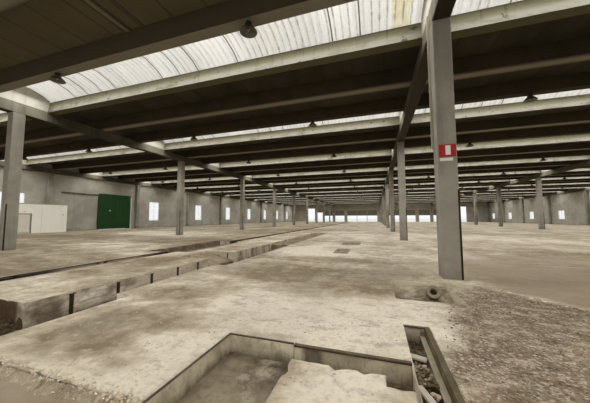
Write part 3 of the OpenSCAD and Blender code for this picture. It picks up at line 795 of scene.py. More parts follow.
@dataclass(frozen=True)
class Sheeting:
    """Weathered translucent corrugated sheets with dirt lines in the waves, lap lines and soiled sheets."""

    name: str
    start_x: float
    wave: float
    clean: Colour = colour("f8f7f2")
    grey: Colour = colour("8a8a83")
    lap: Colour = colour("5c594e")
    waves_a_sheet: float = 4.0
    valley: float = 0.686
    aged_x: Flat = (-0.115, -0.063)
    aged_y: float = -4.07

    def make(self) -> bpy.types.Material:
        """Builds the material."""
        book = NodeBook.material(self.name)
        place = book.place()
        along_x, along_y, up = book.axes(place)
        turn = (along_x - self.start_x) / self.wave
        number = turn.whole()
        gap = (along_y * 1.192366).whole()
        own = book.chance(number + gap * 131.0)
        second = book.chance(number + gap * 57.0 + 0.5)
        wobble = (book.cloud(book.stretched(place, (20, 6, 6)), 1.0, 3.0) - 0.5) * 0.22
        rest = turn.part() + wobble
        line = rest.band(self.valley, 0.05, 0.12) * (0.35 + own * 0.65)
        faint = rest.band(self.valley - 0.30, 0.02, 0.08) * second * 0.55
        fainter = rest.band(self.valley - 0.58, 0.015, 0.07) * own * 0.45
        breaks = book.cloud(book.stretched(place, (70, 40, 40)), 1.0, 3.0, 0.7).step_between(0.3, 0.62)
        sheet = (turn / self.waves_a_sheet).whole() + gap * 37.0
        odd = book.chance(sheet)
        lap = ((turn / self.waves_a_sheet).part() < 0.05) * (book.chance(sheet + 0.5) > 0.5)
        speckle = book.cloud(place, 130.0, 4.0, 0.8).step_between(0.50, 0.70)
        blots = book.cloud(place, 26.0, 5.0, 0.7)
        broad = book.cloud(book.stretched(place, (4, 3, 3), (1, 4, 0)), 1.0, 3.0, 0.6).step_between(0.42, 0.68)
        soil = ((line + faint + fainter) * (0.3 + breaks * 0.7) * 0.72 + speckle * 0.44 + broad * 0.15).clamped()
        # The sheets darken towards the left of the hall.
        soil = soil + along_x.step_between(-0.9, -1.8) * 0.14
        soil = (soil + blots.step_between(0.55, 0.8) * 0.14 + (odd < 0.2) * 0.08 + lap * 0.6).clamped()
        tint = book.blend(soil, self.clean, self.grey)
        tint = book.blend(lap * 0.8, tint, self.lap)
        shell = book.coat(tint, 0.5, book.relief(blots, 0.0004), Specular_IOR_Level=0.25)
        glow = book.node("ShaderNodeBsdfTranslucent", None, {"Color": (0.96, 0.945, 0.90)})
        aged = book.node("ShaderNodeBsdfTranslucent", None, {"Color": (0.86, 0.79, 0.56)})
        clear = book.node("ShaderNodeBsdfTransparent", None, {"Color": (0.96, 0.96, 0.95)})
        half = (self.aged_x[1] - self.aged_x[0]) / 2
        yellow = along_x.band(self.aged_x[0] + half, half, 0.004) * along_y.band(self.aged_y, 0.2, 0.01)
        yellow = yellow * (0.15 + breaks * 0.75) + (odd > 0.9) * 0.10
        glows = book.node("ShaderNodeMixShader", None, {0: yellow.clamped(), 1: glow.outputs[0], 2: aged.outputs[0]})
        share = 0.90 - soil * 0.62 - lap * 0.22
        both = book.node("ShaderNodeMixShader", None, {0: share, 1: shell.outputs[0], 2: glows.outputs[0]})
        mixed = book.node("ShaderNodeMixShader", None, {0: 0.10 - soil * 0.09, 1: both.outputs[0], 2: clear.outputs[0]})
        return book.finish(mixed)


@dataclass(frozen=True)
class Paint:
    """Painted or bare metal and plastic with dust, scratches and worn spots."""

    name: str
    base: Colour
    worn: Colour
    dust: Colour = colour("b5a88e")
    dust_share: float = 0.35
    wear: float = 0.3
    rough: float = 0.55
    metallic: float = 0.0
    grain: float = 40.0
    under: Optional[Colour] = None

    def make(self) -> bpy.types.Material:
        """Builds the material."""
        book = NodeBook.material(self.name)
        place = book.place()
        cloud = book.cloud(place, self.grain * 0.25, 4.0, 0.6)
        fine = book.cloud(place, self.grain * 2.0, 4.0, 0.7)
        runs = book.cloud(book.stretched(place, (40, 40, 3)), 1.0, 3.0, 0.6)
        tint = book.blend((cloud * 0.6 + fine * 0.4).step_between(0.5, 0.66) * self.wear, self.base, self.worn)
        nx, ny, nz = book.facing()
        lying = nz.step_between(0.4, 0.9)
        settled = (runs.step_between(0.45, 0.75) * self.dust_share * 0.8 + lying * self.dust_share).clamped()
        tint = book.blend(settled, tint, self.dust)
        if self.under is not None:
            tint = book.blend(nz.step_between(-0.15, -0.35), tint, self.under)
        rough = (fine * 0.25 + settled * 0.3 + (self.rough - 0.12)).clamped()
        normal = book.relief(fine * 0.6 + cloud * 0.4, 0.0004)
        return book.finish(book.coat(tint, rough, normal, Metallic=self.metallic))


@dataclass(frozen=True)
class StainedPlate:
    """Dull steel plate in the floor, painted darker towards its foot as shade, with streaks and one dark band that is a
    real stain on the pit plates and painted shade on the slot's rail.
    """

    name: str
    base: Colour
    dirt: Colour
    stain_and_shade: Colour
    top_z: float
    depth: float = 0.03
    stain_x: float = -0.262
    stain_half: float = 0.008

    def make(self) -> bpy.types.Material:
        """Builds the material."""
        book = NodeBook.material(self.name)
        place = book.place()
        along_x, along_y, up = book.axes(place)
        cloud = book.cloud(place, 16.0, 4.0, 0.65)
        fine = book.cloud(place, 110.0, 4.0, 0.7)
        streaks = book.cloud(book.stretched(place, (80, 80, 12)), 1.0, 4.0, 0.7)
        tint = book.blend(cloud.step_between(0.38, 0.62) * 0.7, self.base, self.dirt)
        tint = book.blend(fine.step_between(0.5, 0.7) * 0.5, tint, self.dirt)
        # Painted shade: the plate darkens towards its foot, deep in the pit.
        foot = (up + (streaks - 0.5) * 0.03).step_between(self.top_z - self.depth * 0.4, self.top_z - self.depth * 0.95)
        tint = book.blend(foot * 0.7, tint, self.stain_and_shade)
        tint = book.blend(streaks.step_between(0.55, 0.75) * 0.45, tint, self.stain_and_shade)
        # One dark band at stain_x: a real stain on the pit plates, painted shade along the outer side of the slot's
        # rail.
        blot = (along_x + (cloud - 0.5) * 0.03).band(self.stain_x, self.stain_half, 0.012)
        tint = book.blend(blot * 0.75, tint, self.stain_and_shade)
        return book.finish(book.coat(tint, 0.9, book.relief(fine * 0.6 + cloud * 0.4, 0.0008), Specular_IOR_Level=0.15))


@dataclass(frozen=True)
class Pane:
    """Dusty window glass that lets most of the daylight through."""

    name: str = "dusty_pane"
    tint: Colour = colour("eef4f6")
    dust: Colour = colour("dcdcd6")

    def make(self) -> bpy.types.Material:
        """Builds the material."""
        book = NodeBook.material(self.name)
        place = book.place()
        dust = book.cloud(place, 14.0, 4.0, 0.65).step_between(0.4, 0.75)
        tint = book.blend(dust, self.tint, self.dust)
        return book.finish(book.coat(tint, 0.25, None, Alpha=0.05 + dust * 0.03, Specular_IOR_Level=0.5))


# Shapes


class Form:
    """A mesh in the making, shaped with bmesh operators."""

    def __init__(self) -> None:
        """Starts an empty mesh."""
        self.bm = bmesh.new()

    @classmethod
    def of_node(cls, node: str) -> "Form":
        """Copies a CAD node's mesh, merged and with its flat faces joined."""
        form = cls()
        form.bm.from_mesh(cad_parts[node].data)
        bmesh.ops.remove_doubles(form.bm, verts=form.bm.verts, dist=1e-5)
        bmesh.ops.dissolve_limit(form.bm, angle_limit=0.01, verts=form.bm.verts, edges=form.bm.edges)
        return form

    def absorb(self, other: "Form") -> None:
        """Takes in another form's mesh, which ends with that."""
        passing = bpy.data.meshes.new("passing")
        other.bm.to_mesh(passing)
        other.bm.free()
        self.bm.from_mesh(passing)
        bpy.data.meshes.remove(passing)

    def box(self, low: Sequence[float], high: Sequence[float], edge: float = 0.0, turn: Optional[Matrix] = None) -> None:
        """Adds a box, with its edges eased if an edge width is given.

        Args:
            low: Its lowest corner.
            high: Its highest corner.
            edge: Width of the eased edges.
            turn: A turn about the box's own middle.
        """
        part = Form()
        low, high = Vector(low), Vector(high)
        span = high - low
        made = bmesh.ops.create_cube(part.bm, size=1.0, matrix=Matrix.Diagonal((*span, 1.0)))
        if edge:
            bmesh.ops.bevel(
                part.bm, geom=part.bm.edges[:], offset=edge, offset_type="OFFSET", affect="EDGES",
                segments=1, profile=0.5, material=-1,
            )
        matrix = Matrix.Translation((low + high) / 2) @ (turn or Matrix.Identity(4))
        bmesh.ops.transform(part.bm, matrix=matrix, verts=part.bm.verts)
        self.absorb(part)

    def rod(self, start: Sequence[float], end: Sequence[float], radius: float, sides: int = 10,
            end_radius: Optional[float] = None) -> None:
        """Adds a straight round rod or cone between two points.

        Args:
            start: The middle of one end.
            end: The middle of the other end.
            radius: The radius at the start.
            sides: How many flat sides it has.
            end_radius: The radius at the end, if it differs.
        """
        start, end = Vector(start), Vector(end)
        axis = end - start
        turn = axis.to_track_quat("Z", "Y").to_matrix().to_4x4()
        bmesh.ops.create_cone(
            self.bm, cap_ends=True, segments=sides, radius1=radius,
            radius2=radius if end_radius is None else end_radius, depth=axis.length,
            matrix=Matrix.Translation((start + end) / 2) @ turn,
        )

    def turned(self, profile: Sequence[Flat], sides: int) -> None:
        """Adds a shape of revolution about the vertical through the origin.

        Args:
            profile: Pairs of radius and height, from one end of the outline to the other.
            sides: How many sides a full turn has.
        """
        part = Form()
        verts = [part.bm.verts.new((r, 0, z)) for r, z in profile]
        edges = [part.bm.edges.new(pair) for pair in zip(verts, verts[1:])]
        bmesh.ops.spin(
            part.bm, geom=verts + edges, cent=(0, 0, 0), axis=(0, 0, 1), dvec=(0, 0, 0),
            angle=2 * math.pi, steps=sides, use_merge=True, use_duplicate=False,
        )
        bmesh.ops.remove_doubles(part.bm, verts=part.bm.verts, dist=1e-6)
        bmesh.ops.recalc_face_normals(part.bm, faces=part.bm.faces)
        self.absorb(part)

    def copies(self, places: Sequence[Point]) -> None:
        """Repeats all that is there so far at each place; the original goes to the first one."""
        geometry = self.bm.verts[:] + self.bm.edges[:] + self.bm.faces[:]
        for shift in places[1:]:
            twin = bmesh.ops.duplicate(self.bm, geom=geometry)
            moved = [item for item in twin["geom"] if isinstance(item, bmesh.types.BMVert)]
            bmesh.ops.translate(self.bm, vec=shift, verts=moved)
        first = [item for item in geometry if isinstance(item, bmesh.types.BMVert)]
        bmesh.ops.translate(self.bm, vec=places[0], verts=first)

    def stone(self, place: Sequence[float], radius: float, rng: random.Random, flat: float = 0.6,
              long: float = 1.0) -> None:
        """Adds an angular stone of twenty faces.

        Args:
            place: Its middle.
            radius: About half its width.
            rng: Where its shape comes from.
            flat: Its height as a share of its width.
            long: Its length as a share of its width.
        """
        turn = Matrix.Rotation(rng.uniform(0, math.tau), 4, "Z") @ Matrix.Rotation(rng.uniform(-0.5, 0.5), 4, "X")
        squash = Matrix.Diagonal((rng.uniform(0.8, 1.2) * long, rng.uniform(0.7, 1.1), rng.uniform(0.7, 1.2) * flat, 1))
        made = bmesh.ops.create_icosphere(
            self.bm, subdivisions=1, radius=radius, matrix=Matrix.Translation(place) @ turn @ squash,
        )
        for vert in made["verts"]:
            vert.co += Vector((rng.uniform(-1, 1), rng.uniform(-1, 1), rng.uniform(-1, 1))) * radius * 0.2

    def eased(self, width: float, keep: Callable[[bmesh.types.BMEdge], bool]) -> None:
        """Eases the sharp edges that a rule picks.

        Args:
            width: The width of the eased edge.
            keep: Tells of an edge whether it is eased.
        """
        sharp = [e for e in self.bm.edges if len(e.link_faces) == 2 and e.calc_face_angle(0.0) > 0.5 and keep(e)]
        bmesh.ops.bevel(
            self.bm, geom=sharp, offset=width, offset_type="OFFSET", affect="EDGES",
            segments=1, profile=0.5, material=-1, clamp_overlap=True,
        )

    def piece(self, name: str, material: bpy.types.Material, body: str, slot: str, smooth: float = 0.0) -> bpy.types.Object:
        """Makes the object and lets it ride on a body.

        Args:
            name: The piece's name.
            material: Its material.
            body: The CAD body that it moves with.
            slot: The record's material slot; not used.
            smooth: Angle in degrees under which edges are shaded smooth, or 0 for none.

        Returns:
            The new object.
        """
        mesh = bpy.data.meshes.new(name)
        if smooth:
            limit = math.radians(smooth)
            for face in self.bm.faces:
                face.smooth = True
            for edge in self.bm.edges:
                edge.smooth = len(edge.link_faces) == 2 and edge.calc_face_angle(math.pi) < limit
        self.bm.to_mesh(mesh)
        self.bm.free()
        mesh.materials.append(material)
        made = bpy.data.objects.new(name, mesh)
        bpy.context.scene.collection.objects.link(made)
        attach(made, body)
        LOG.info("%s: %d faces on %s", name, len(mesh.polygons), body)
        return made


def dress(node: str, material: bpy.types.Material) -> None:
    """Gives a CAD node its material.

    Args:
        node: The node's name.
        material: The material.
    """
    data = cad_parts[node].data
    data.materials.clear()
    data.materials.append(material)


def solids(node: str) -> list[tuple[Vector, Vector]]:
    """Finds the separate solids of a CAD node.

    Args:
        node: The node's name.

    Returns:
        The lowest and highest corner of each, sorted along X, then Y, then Z.
    """
    form = Form.of_node(node)
    seen = set()
    boxes = []
    for start in form.bm.verts:
        if start in seen:
            continue
        seen.add(start)
        group = [start]
        for vert in group:
            for edge in vert.link_edges:
                other = edge.other_vert(vert)
                if other not in seen:
                    seen.add(other)
                    group.append(other)
        low = Vector([min(v.co[axis] for v in group) for axis in range(3)])
        high = Vector([max(v.co[axis] for v in group) for axis in range(3)])
        boxes.append((low, high))
    form.bm.free()
    return sorted(boxes, key=lambda pair: tuple(round(value, 4) for value in pair[0]))


# The hall's own sizes, read from the frame


@dataclass(frozen=True)
class Hall:
    """Places that the pieces share, worked out from the CAD nodes."""

    floor_z: float
    line_x: tuple[float, ...]
    rows_y: tuple[float, ...]
    lip_z: float
    kerb_top: float
    element_starts: tuple[float, ...]
    element_width: float
    length: float
    viewer_y: float

    @classmethod
    def from_frame(cls) -> "Hall":
        """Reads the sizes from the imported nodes."""
        floor_low, floor_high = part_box("floor_left")
        low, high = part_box("columns_left_wall")
        other_low, other_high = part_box("columns_right_wall")
        width = other_high.x - low.x
        length = high.y - low.y
        lines = tuple(low.x + width * n / 4 for n in range(5))
        bays = 11
        rows = tuple(-length / 2 + length * k / bays for k in range(bays + 1))
        starts = sorted({round(box[0].y, 3): box[0].y for box in solids("roof_middle_aisle")}.values())
        ends = sorted({round(box[1].y, 3): box[1].y for box in solids("roof_middle_aisle")}.values())
        sheet_low, sheet_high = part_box("skylights_middle_aisle")
        roof_low, roof_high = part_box("roof_middle_aisle")
        return cls(
            floor_z=floor_high.z, line_x=lines, rows_y=rows, lip_z=roof_low.z, kerb_top=sheet_low.z,
            element_starts=tuple(starts), element_width=ends[0] - starts[0], length=length,
            viewer_y=rows[2] - 0.791,
        )

    def gaps(self) -> Iterator[Flat]:
        """Gives the start and end along Y of each gap between two roof elements."""
        for start, following in zip(self.element_starts, self.element_starts[1:]):
            yield start + self.element_width, following


# Sub-assemblies


@dataclass
class SkylightSheets:
    """Corrugated arched sheets over the gaps between the roof elements."""

    hall: Hall
    wave_length: float = 0.0248
    wave_depth: float = 0.0023
    sheet_t: float = 0.0011
    seat: float = 0.024
    rise: float = 0.045
    points_a_wave: int = 4
    arch_steps: int = 5

    def sheet(self, form: Form, low_x: float, high_x: float, middle_y: float, half: float) -> None:
        """Adds one corrugated arch that closes a gap.

        Args:
            form: The mesh in the making.
            low_x: The sheet's left end.
            high_x: The sheet's right end.
            middle_y: The middle of the gap.
            half: Half the arch's span.
        """
        radius = (half ** 2 + self.rise ** 2) / (2 * self.rise)
        centre_z = self.hall.kerb_top + self.rise - radius
        reach = math.asin(half / radius)
        mean = radius - self.wave_depth - self.sheet_t
        span = high_x - low_x
        waves = round(span / self.wave_length)
        made = bmesh.ops.create_grid(
            form.bm, x_segments=waves * self.points_a_wave, y_segments=self.arch_steps, size=0.5,
        )
        for vert in made["verts"]:
            turn = vert.co.y * 2 * reach
            depth = mean + self.wave_depth * math.sin((vert.co.x + 0.5) * waves * math.tau + 0.4)
            vert.co = (
                low_x + (vert.co.x + 0.5) * span,
                middle_y + depth * math.sin(turn),
                max(centre_z + depth * math.cos(turn), self.hall.kerb_top + 0.0002),
            )
        faces = list({f for v in made["verts"] for f in v.link_faces})
        bmesh.ops.solidify(form.bm, geom=faces, thickness=self.sheet_t)

    def make(self) -> None:
        """Builds the sheets of each aisle."""
        gaps = list(self.hall.gaps())
        start, end = gaps[0]
        for aisle in Aisle:
            node = f"skylights_{aisle.value}_aisle"
            low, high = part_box(node)
            wave = (high.x - low.x) / round((high.x - low.x) / self.wave_length)
            material = Sheeting(f"sheeting_{aisle.value}", low.x, wave).make()
            dress(node, material)
            form = Form()
            self.sheet(form, low.x, high.x, (start + end) / 2, (end - start) / 2 + self.seat)
            form.copies([(0, gap[0] - start, 0) for gap in gaps])
            piece = form.piece(f"corrugated_sheets_{aisle.value}", material, HALL_BODY, "skylight_sheet", 50)
            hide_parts(node)


@dataclass
class HangingLamps:
    """Flat bell lamps with a narrow housing, close under the roof elements."""

    material: bpy.types.Material
    bulb_material: bpy.types.Material
    sides: int = 16
    bell_share: float = 0.56
    housing_share: float = 0.38

    def make(self) -> None:
        """Builds all lamps as one piece and their bulbs as another."""
        boxes = solids("lamps")
        low, high = boxes[0]
        r, tall = (high.x - low.x) / 2, high.z - low.z
        bell, neck = tall * self.bell_share, r * self.housing_share
        outside = [(r, 0), (r * 0.985, bell * 0.1), (r * 0.86, bell * 0.36), (r * 0.64, bell * 0.68), (neck * 1.12, bell)]
        housing = [(neck, bell * 1.04), (neck, tall * 0.9), (neck * 0.8, tall), (0, tall)]
        inside = [(0, bell * 0.9), (neck, bell * 0.88), (r * 0.6, bell * 0.6), (r * 0.83, bell * 0.3), (r * 0.95, bell * 0.03)]
        spots = [((a.x + b.x) / 2, (a.y + b.y) / 2, a.z) for a, b in boxes]
        form = Form()
        form.turned(inside + outside + housing, self.sides)
        form.copies(spots)
        piece = form.piece("bell_lamps", self.material, HALL_BODY, "lamp_metal", 40)
        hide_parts("lamps")
        bulbs = Form()
        bulbs.turned([(0, bell * 0.25), (r * 0.16, bell * 0.32), (r * 0.2, bell * 0.5), (r * 0.12, bell * 0.8),
                      (0, bell * 0.88)], 8)
        bulbs.copies(spots)
        bulbs.piece("lamp_bulbs", self.bulb_material, HALL_BODY, "lamp_metal", 60)


@dataclass
class EasedFrame:
    """Columns and girders with the eased edges of cast concrete in place of the sharp CAD ones."""

    column_material: bpy.types.Material
    girder_material: bpy.types.Material
    column_ease: float = 0.0016
    girder_ease: float = 0.0018

    def make(self) -> None:
        """Builds one piece for each node."""
        for line in Line:
            form = Form.of_node(f"columns_{line.value}")
            form.eased(self.column_ease, lambda edge: abs(edge.verts[0].co.z - edge.verts[1].co.z) > 0.1)
            piece = form.piece(f"cast_columns_{line.value}", self.column_material, HALL_BODY, "column_concrete")
            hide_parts(f"columns_{line.value}")
            form = Form.of_node(f"girders_{line.value}")
            form.eased(self.girder_ease, lambda edge: abs(edge.verts[0].co.y - edge.verts[1].co.y) > 0.1)
            piece = form.piece(f"cast_girders_{line.value}", self.girder_material, HALL_BODY, "girder_concrete")
            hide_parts(f"girders_{line.value}")


@dataclass
class WornSlab:
    """A floor slab with chipped and eased edges along its trenches, pits and groove."""

    hall: Hall
    node: str
    material: bpy.types.Material
    open_low_x: bool = False
    open_high_x: bool = False
    ease: float = 0.0028
    chip: float = 0.012
    worn_until: float = 4.6
    plate_x: Flat = (-0.1515, -0.1485)

    def make(self) -> None:
        """Builds the slab from a copy of its node."""
        low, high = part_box(self.node)
        form = Form.of_node(self.node)
        bm = form.bm
        for reach in (0.75, 2.0, self.worn_until):
            bmesh.ops.bisect_plane(
                bm, geom=bm.verts[:] + bm.edges[:] + bm.faces[:], dist=1e-5,
                plane_co=(0, self.hall.viewer_y + reach, 0), plane_no=(0, 1, 0),
            )
        for edge in [e for e in bm.edges if self.is_rim(e, low, high)]:
            middle = (edge.verts[0].co + edge.verts[1].co) / 2
            near = max(0.2, min(abs(v.co.y - self.hall.viewer_y) for v in edge.verts) + abs(middle.x) * 0.3)
            cuts = int(edge.calc_length() / (0.0045 + 0.008 * near))
            if cuts > 0:
                bmesh.ops.subdivide_edges(bm, edges=[edge], cuts=cuts)
        rims = [e for e in bm.edges if self.is_rim(e, low, high)]
        bmesh.ops.bevel(
            bm, geom=rims, offset=self.ease, offset_type="OFFSET", affect="EDGES",
            segments=2, profile=0.5, material=-1, clamp_overlap=True,
        )
        self.chip_edges(bm, high)
        bmesh.ops.triangulate(bm, faces=bm.faces)
        piece = form.piece(f"worn_{self.node}", self.material, HALL_BODY, "floor_concrete")
        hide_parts(self.node)

    def is_rim(self, edge: bmesh.types.BMEdge, low: Vector, high: Vector) -> bool:
        """Tells whether an edge runs along a pit or the groove at the floor's top."""
        if len(edge.link_faces) != 2 or any(v.co.z < high.z - 1e-4 for v in edge.verts):
            return False
        tops = [abs(f.normal.z) > 0.9 for f in edge.link_faces]
        if tops[0] == tops[1]:
            return False
        middle = (edge.verts[0].co + edge.verts[1].co) / 2
        if middle.y > self.hall.viewer_y + self.worn_until or middle.y < self.hall.viewer_y - 0.7:
            return False
        outer = middle.y < low.y + 1e-4 or middle.y > high.y - 1e-4
        outer = outer or (middle.x < low.x + 1e-4 and not self.open_low_x)
        outer = outer or (middle.x > high.x - 1e-4 and not self.open_high_x)
        return not outer and not self.plate_x[0] < middle.x < self.plate_x[1]

    def chip_edges(self, bm: bmesh.types.BMesh, high: Vector) -> None:
        """Moves the eased edges in and down, more where a chip has broken off.

        Args:
            bm: The slab's mesh.
            high: The slab's highest corner.
        """
        for vert in bm.verts:
            depth = high.z - vert.co.z
            if depth > self.ease * 1.5 or vert.co.z > high.z + 1e-5:
                continue
            out = Vector((0, 0, 0))
            for face in vert.link_faces:
                if 0.1 < abs(face.normal.z) < 0.98:
                    out += Vector((face.normal.x, face.normal.y, 0))
            if out.length < 1e-6:
                continue
            out.normalize()
            rough = noise.noise(vert.co * 140) * 0.5 + 0.5
            deep = max(0.0, noise.noise(vert.co * 60 + Vector((3, 1, 0))) - 0.22)
            ahead = vert.co.y - self.hall.viewer_y
            crumbly = 2.6 if abs(ahead - 0.18) < 0.012 and -0.668 < vert.co.x < -0.375 else 1.0
            if abs(ahead - 0.279) < 0.016 and -0.29 < vert.co.x < -0.149:
                crumbly = 2.4
            size = (rough * 0.0012 + deep * self.chip) * crumbly
            if depth < 1e-5:
                vert.co -= out * size
            elif depth > self.ease * 0.9:
                vert.co.z -= size * 0.7
            else:
                vert.co -= out * size * 0.5
                vert.co.z -= size * 0.35


@dataclass(frozen=True)
class Bed:
    """One uneven heap of rubble or sand between straight walls, measured from the viewer along Y."""

    low: Flat
    high: Flat
    base: float
    rise: Flat
    lean_x: float = 0.0
    lean_y: float = 0.0
    cell: float = 0.006
    grain: float = 40.0


@dataclass
class LooseFill:
    """Rubble, sand and crumbs that lie in the trenches and pits."""

    hall: Hall
    rubble: bpy.types.Material
    sand: bpy.types.Material
    crumble: bpy.types.Material
    dusty: bpy.types.Material
    smooth: bpy.types.Material
    dirt: bpy.types.Material
    dark_dirt_and_shade: bpy.types.Material
    bottom: float = 0.0006

    def heap(self, form: Form, bed: Bed) -> None:
        """Adds one closed heap.

        Args:
            form: The mesh in the making.
            bed: Its outline and heights.
        """
        part = Form()
        wide, deep = bed.high[0] - bed.low[0], bed.high[1] - bed.low[1]
        made = bmesh.ops.create_grid(
            part.bm, x_segments=max(3, round(wide / bed.cell)), y_segments=max(3, round(deep / bed.cell)), size=0.5,
        )
        base = self.hall.floor_z - bed.base - self.bottom
        for vert in made["verts"]:
            vert.co = (
                bed.low[0] + (vert.co.x + 0.5) * wide,
                self.hall.viewer_y + bed.low[1] + (vert.co.y + 0.5) * deep, base,
            )
        grown = bmesh.ops.extrude_face_region(part.bm, geom=part.bm.faces[:], use_keep_orig=True)
        for vert in [item for item in grown["geom"] if isinstance(item, bmesh.types.BMVert)]:
            share_x = (vert.co.x - bed.low[0]) / wide
            share_y = (vert.co.y - self.hall.viewer_y - bed.low[1]) / deep
            rough = noise.fractal(vert.co * bed.grain, 0.9, 2.1, 4) * 0.5 + 0.5
            lump = max(0.0, noise.noise(vert.co * bed.grain * 2.3)) ** 1.5
            lift = bed.rise[0] + (bed.rise[1] - bed.rise[0]) * (rough * 0.7 + lump * 0.8)
            lift += bed.lean_x * share_x + bed.lean_y * share_y
            vert.co.z = base + self.bottom + min(max(0.0008, lift), bed.base - 0.0015)
        bmesh.ops.recalc_face_normals(part.bm, faces=part.bm.faces)
        self_faces = [f for f in part.bm.faces if f.calc_area() > 0]
        if sum(f.normal.z * f.calc_area() * (f.calc_center_median().z - base) for f in self_faces) < 0:
            bmesh.ops.reverse_faces(part.bm, faces=part.bm.faces)
        form.absorb(part)

    def make(self) -> None:
        """Builds the heaps of each trench and pit."""
        groups = {
            "trench_rubble": (self.rubble, [
                Bed((-0.8098, -0.458), (-0.7052, 2.748), 0.058, (0.002, 0.020), cell=0.012),
                Bed((-0.705, -0.458), (-0.6652, 0.548), 0.058, (0.002, 0.016), lean_x=-0.004, cell=0.010),
                Bed((-0.705, 0.767), (-0.6652, 2.748), 0.058, (0.002, 0.016), cell=0.014),
            ]),
            "cross_trench_sand": (self.sand, [
                Bed((-0.9598, 0.872), (-0.811, 1.063), 0.058, (0.052, 0.062), lean_x=-0.034, cell=0.006, grain=30),
            ]),
            "packed_edge": (self.dusty, [
                Bed((-0.7048, 0.412), (-0.6652, 0.5478), 0.058, (0.060, 0.062), cell=0.008, grain=30),
            ]),
            "far_trench_fill": (self.sand, [
                Bed((-0.8098, 1.52), (-0.6652, 2.748), 0.0582, (0.040, 0.056), lean_y=0.008, cell=0.012, grain=22),
            ]),
            "side_trench_rubble": (self.rubble, [
                Bed((-0.8998, 0.2622), (-0.8102, 0.3118), 0.058, (0.012, 0.050), lean_x=-0.012, cell=0.0045, grain=60),
            ]),
            "broken_groove_rubble": (self.rubble, [
                Bed((-1.2178, 1.002), (-1.1282, 1.558), 0.030, (0.001, 0.012), cell=0.008),
            ]),
            "crumbled_groove": (self.sand, [
                Bed((-1.0798, 1.002), (-1.0142, 1.558), 0.032, (0.016, 0.032), lean_x=0.010, cell=0.007),
            ]),
            "crumbled_bank": (self.crumble, [
                Bed((-0.6645, 0.163), (-0.3775, 0.1795), 0.0142, (-0.001, 0.0045), lean_y=0.010, cell=0.0019, grain=150),
            ]),
            "pit_sand": (self.dirt, [
                Bed((-0.3768, -0.198), (-0.2792, 0.3218), 0.032, (0.0006, 0.0042), lean_x=-0.003, lean_y=0.006, cell=0.005),
            ]),
            "hollow_dust": (self.smooth, [
                Bed((-0.6648, 0.022), (-0.3772, 0.1785), 0.014, (0.0006, 0.0050), lean_y=0.003, cell=0.006, grain=22),
            ]),
            "hollow_sand": (self.sand, [
                Bed((-0.3718, 1.172), (-0.3062, 1.358), 0.014, (0.009, 0.014), cell=0.006),
                Bed((-0.3828, 1.552), (-0.2782, 1.738), 0.014, (0.011, 0.015), cell=0.007),
            ]),
            "stub_pit_sand": (self.dirt, [
                Bed((-0.1498, 0.5552), (-0.0302, 0.7148), 0.050, (0.006, 0.014), lean_x=0.006, lean_y=0.026, cell=0.004, grain=26),
            ]),
            "slot_rubble": (self.dark_dirt_and_shade, [
                Bed((-0.1488, -0.198), (-0.1272, 0.300), 0.050, (0.026, 0.041), lean_x=-0.003, cell=0.0035, grain=75),
                Bed((-0.1488, 0.3002), (-0.1272, 0.4220), 0.050, (0.036, 0.043), lean_y=-0.013, cell=0.0035, grain=40),
            ]),
        }
        for name, (material, beds) in groups.items():
            form = Form()
            for bed in beds:
                self.heap(form, bed)
            form.piece(name, material, HALL_BODY, "floor_concrete")


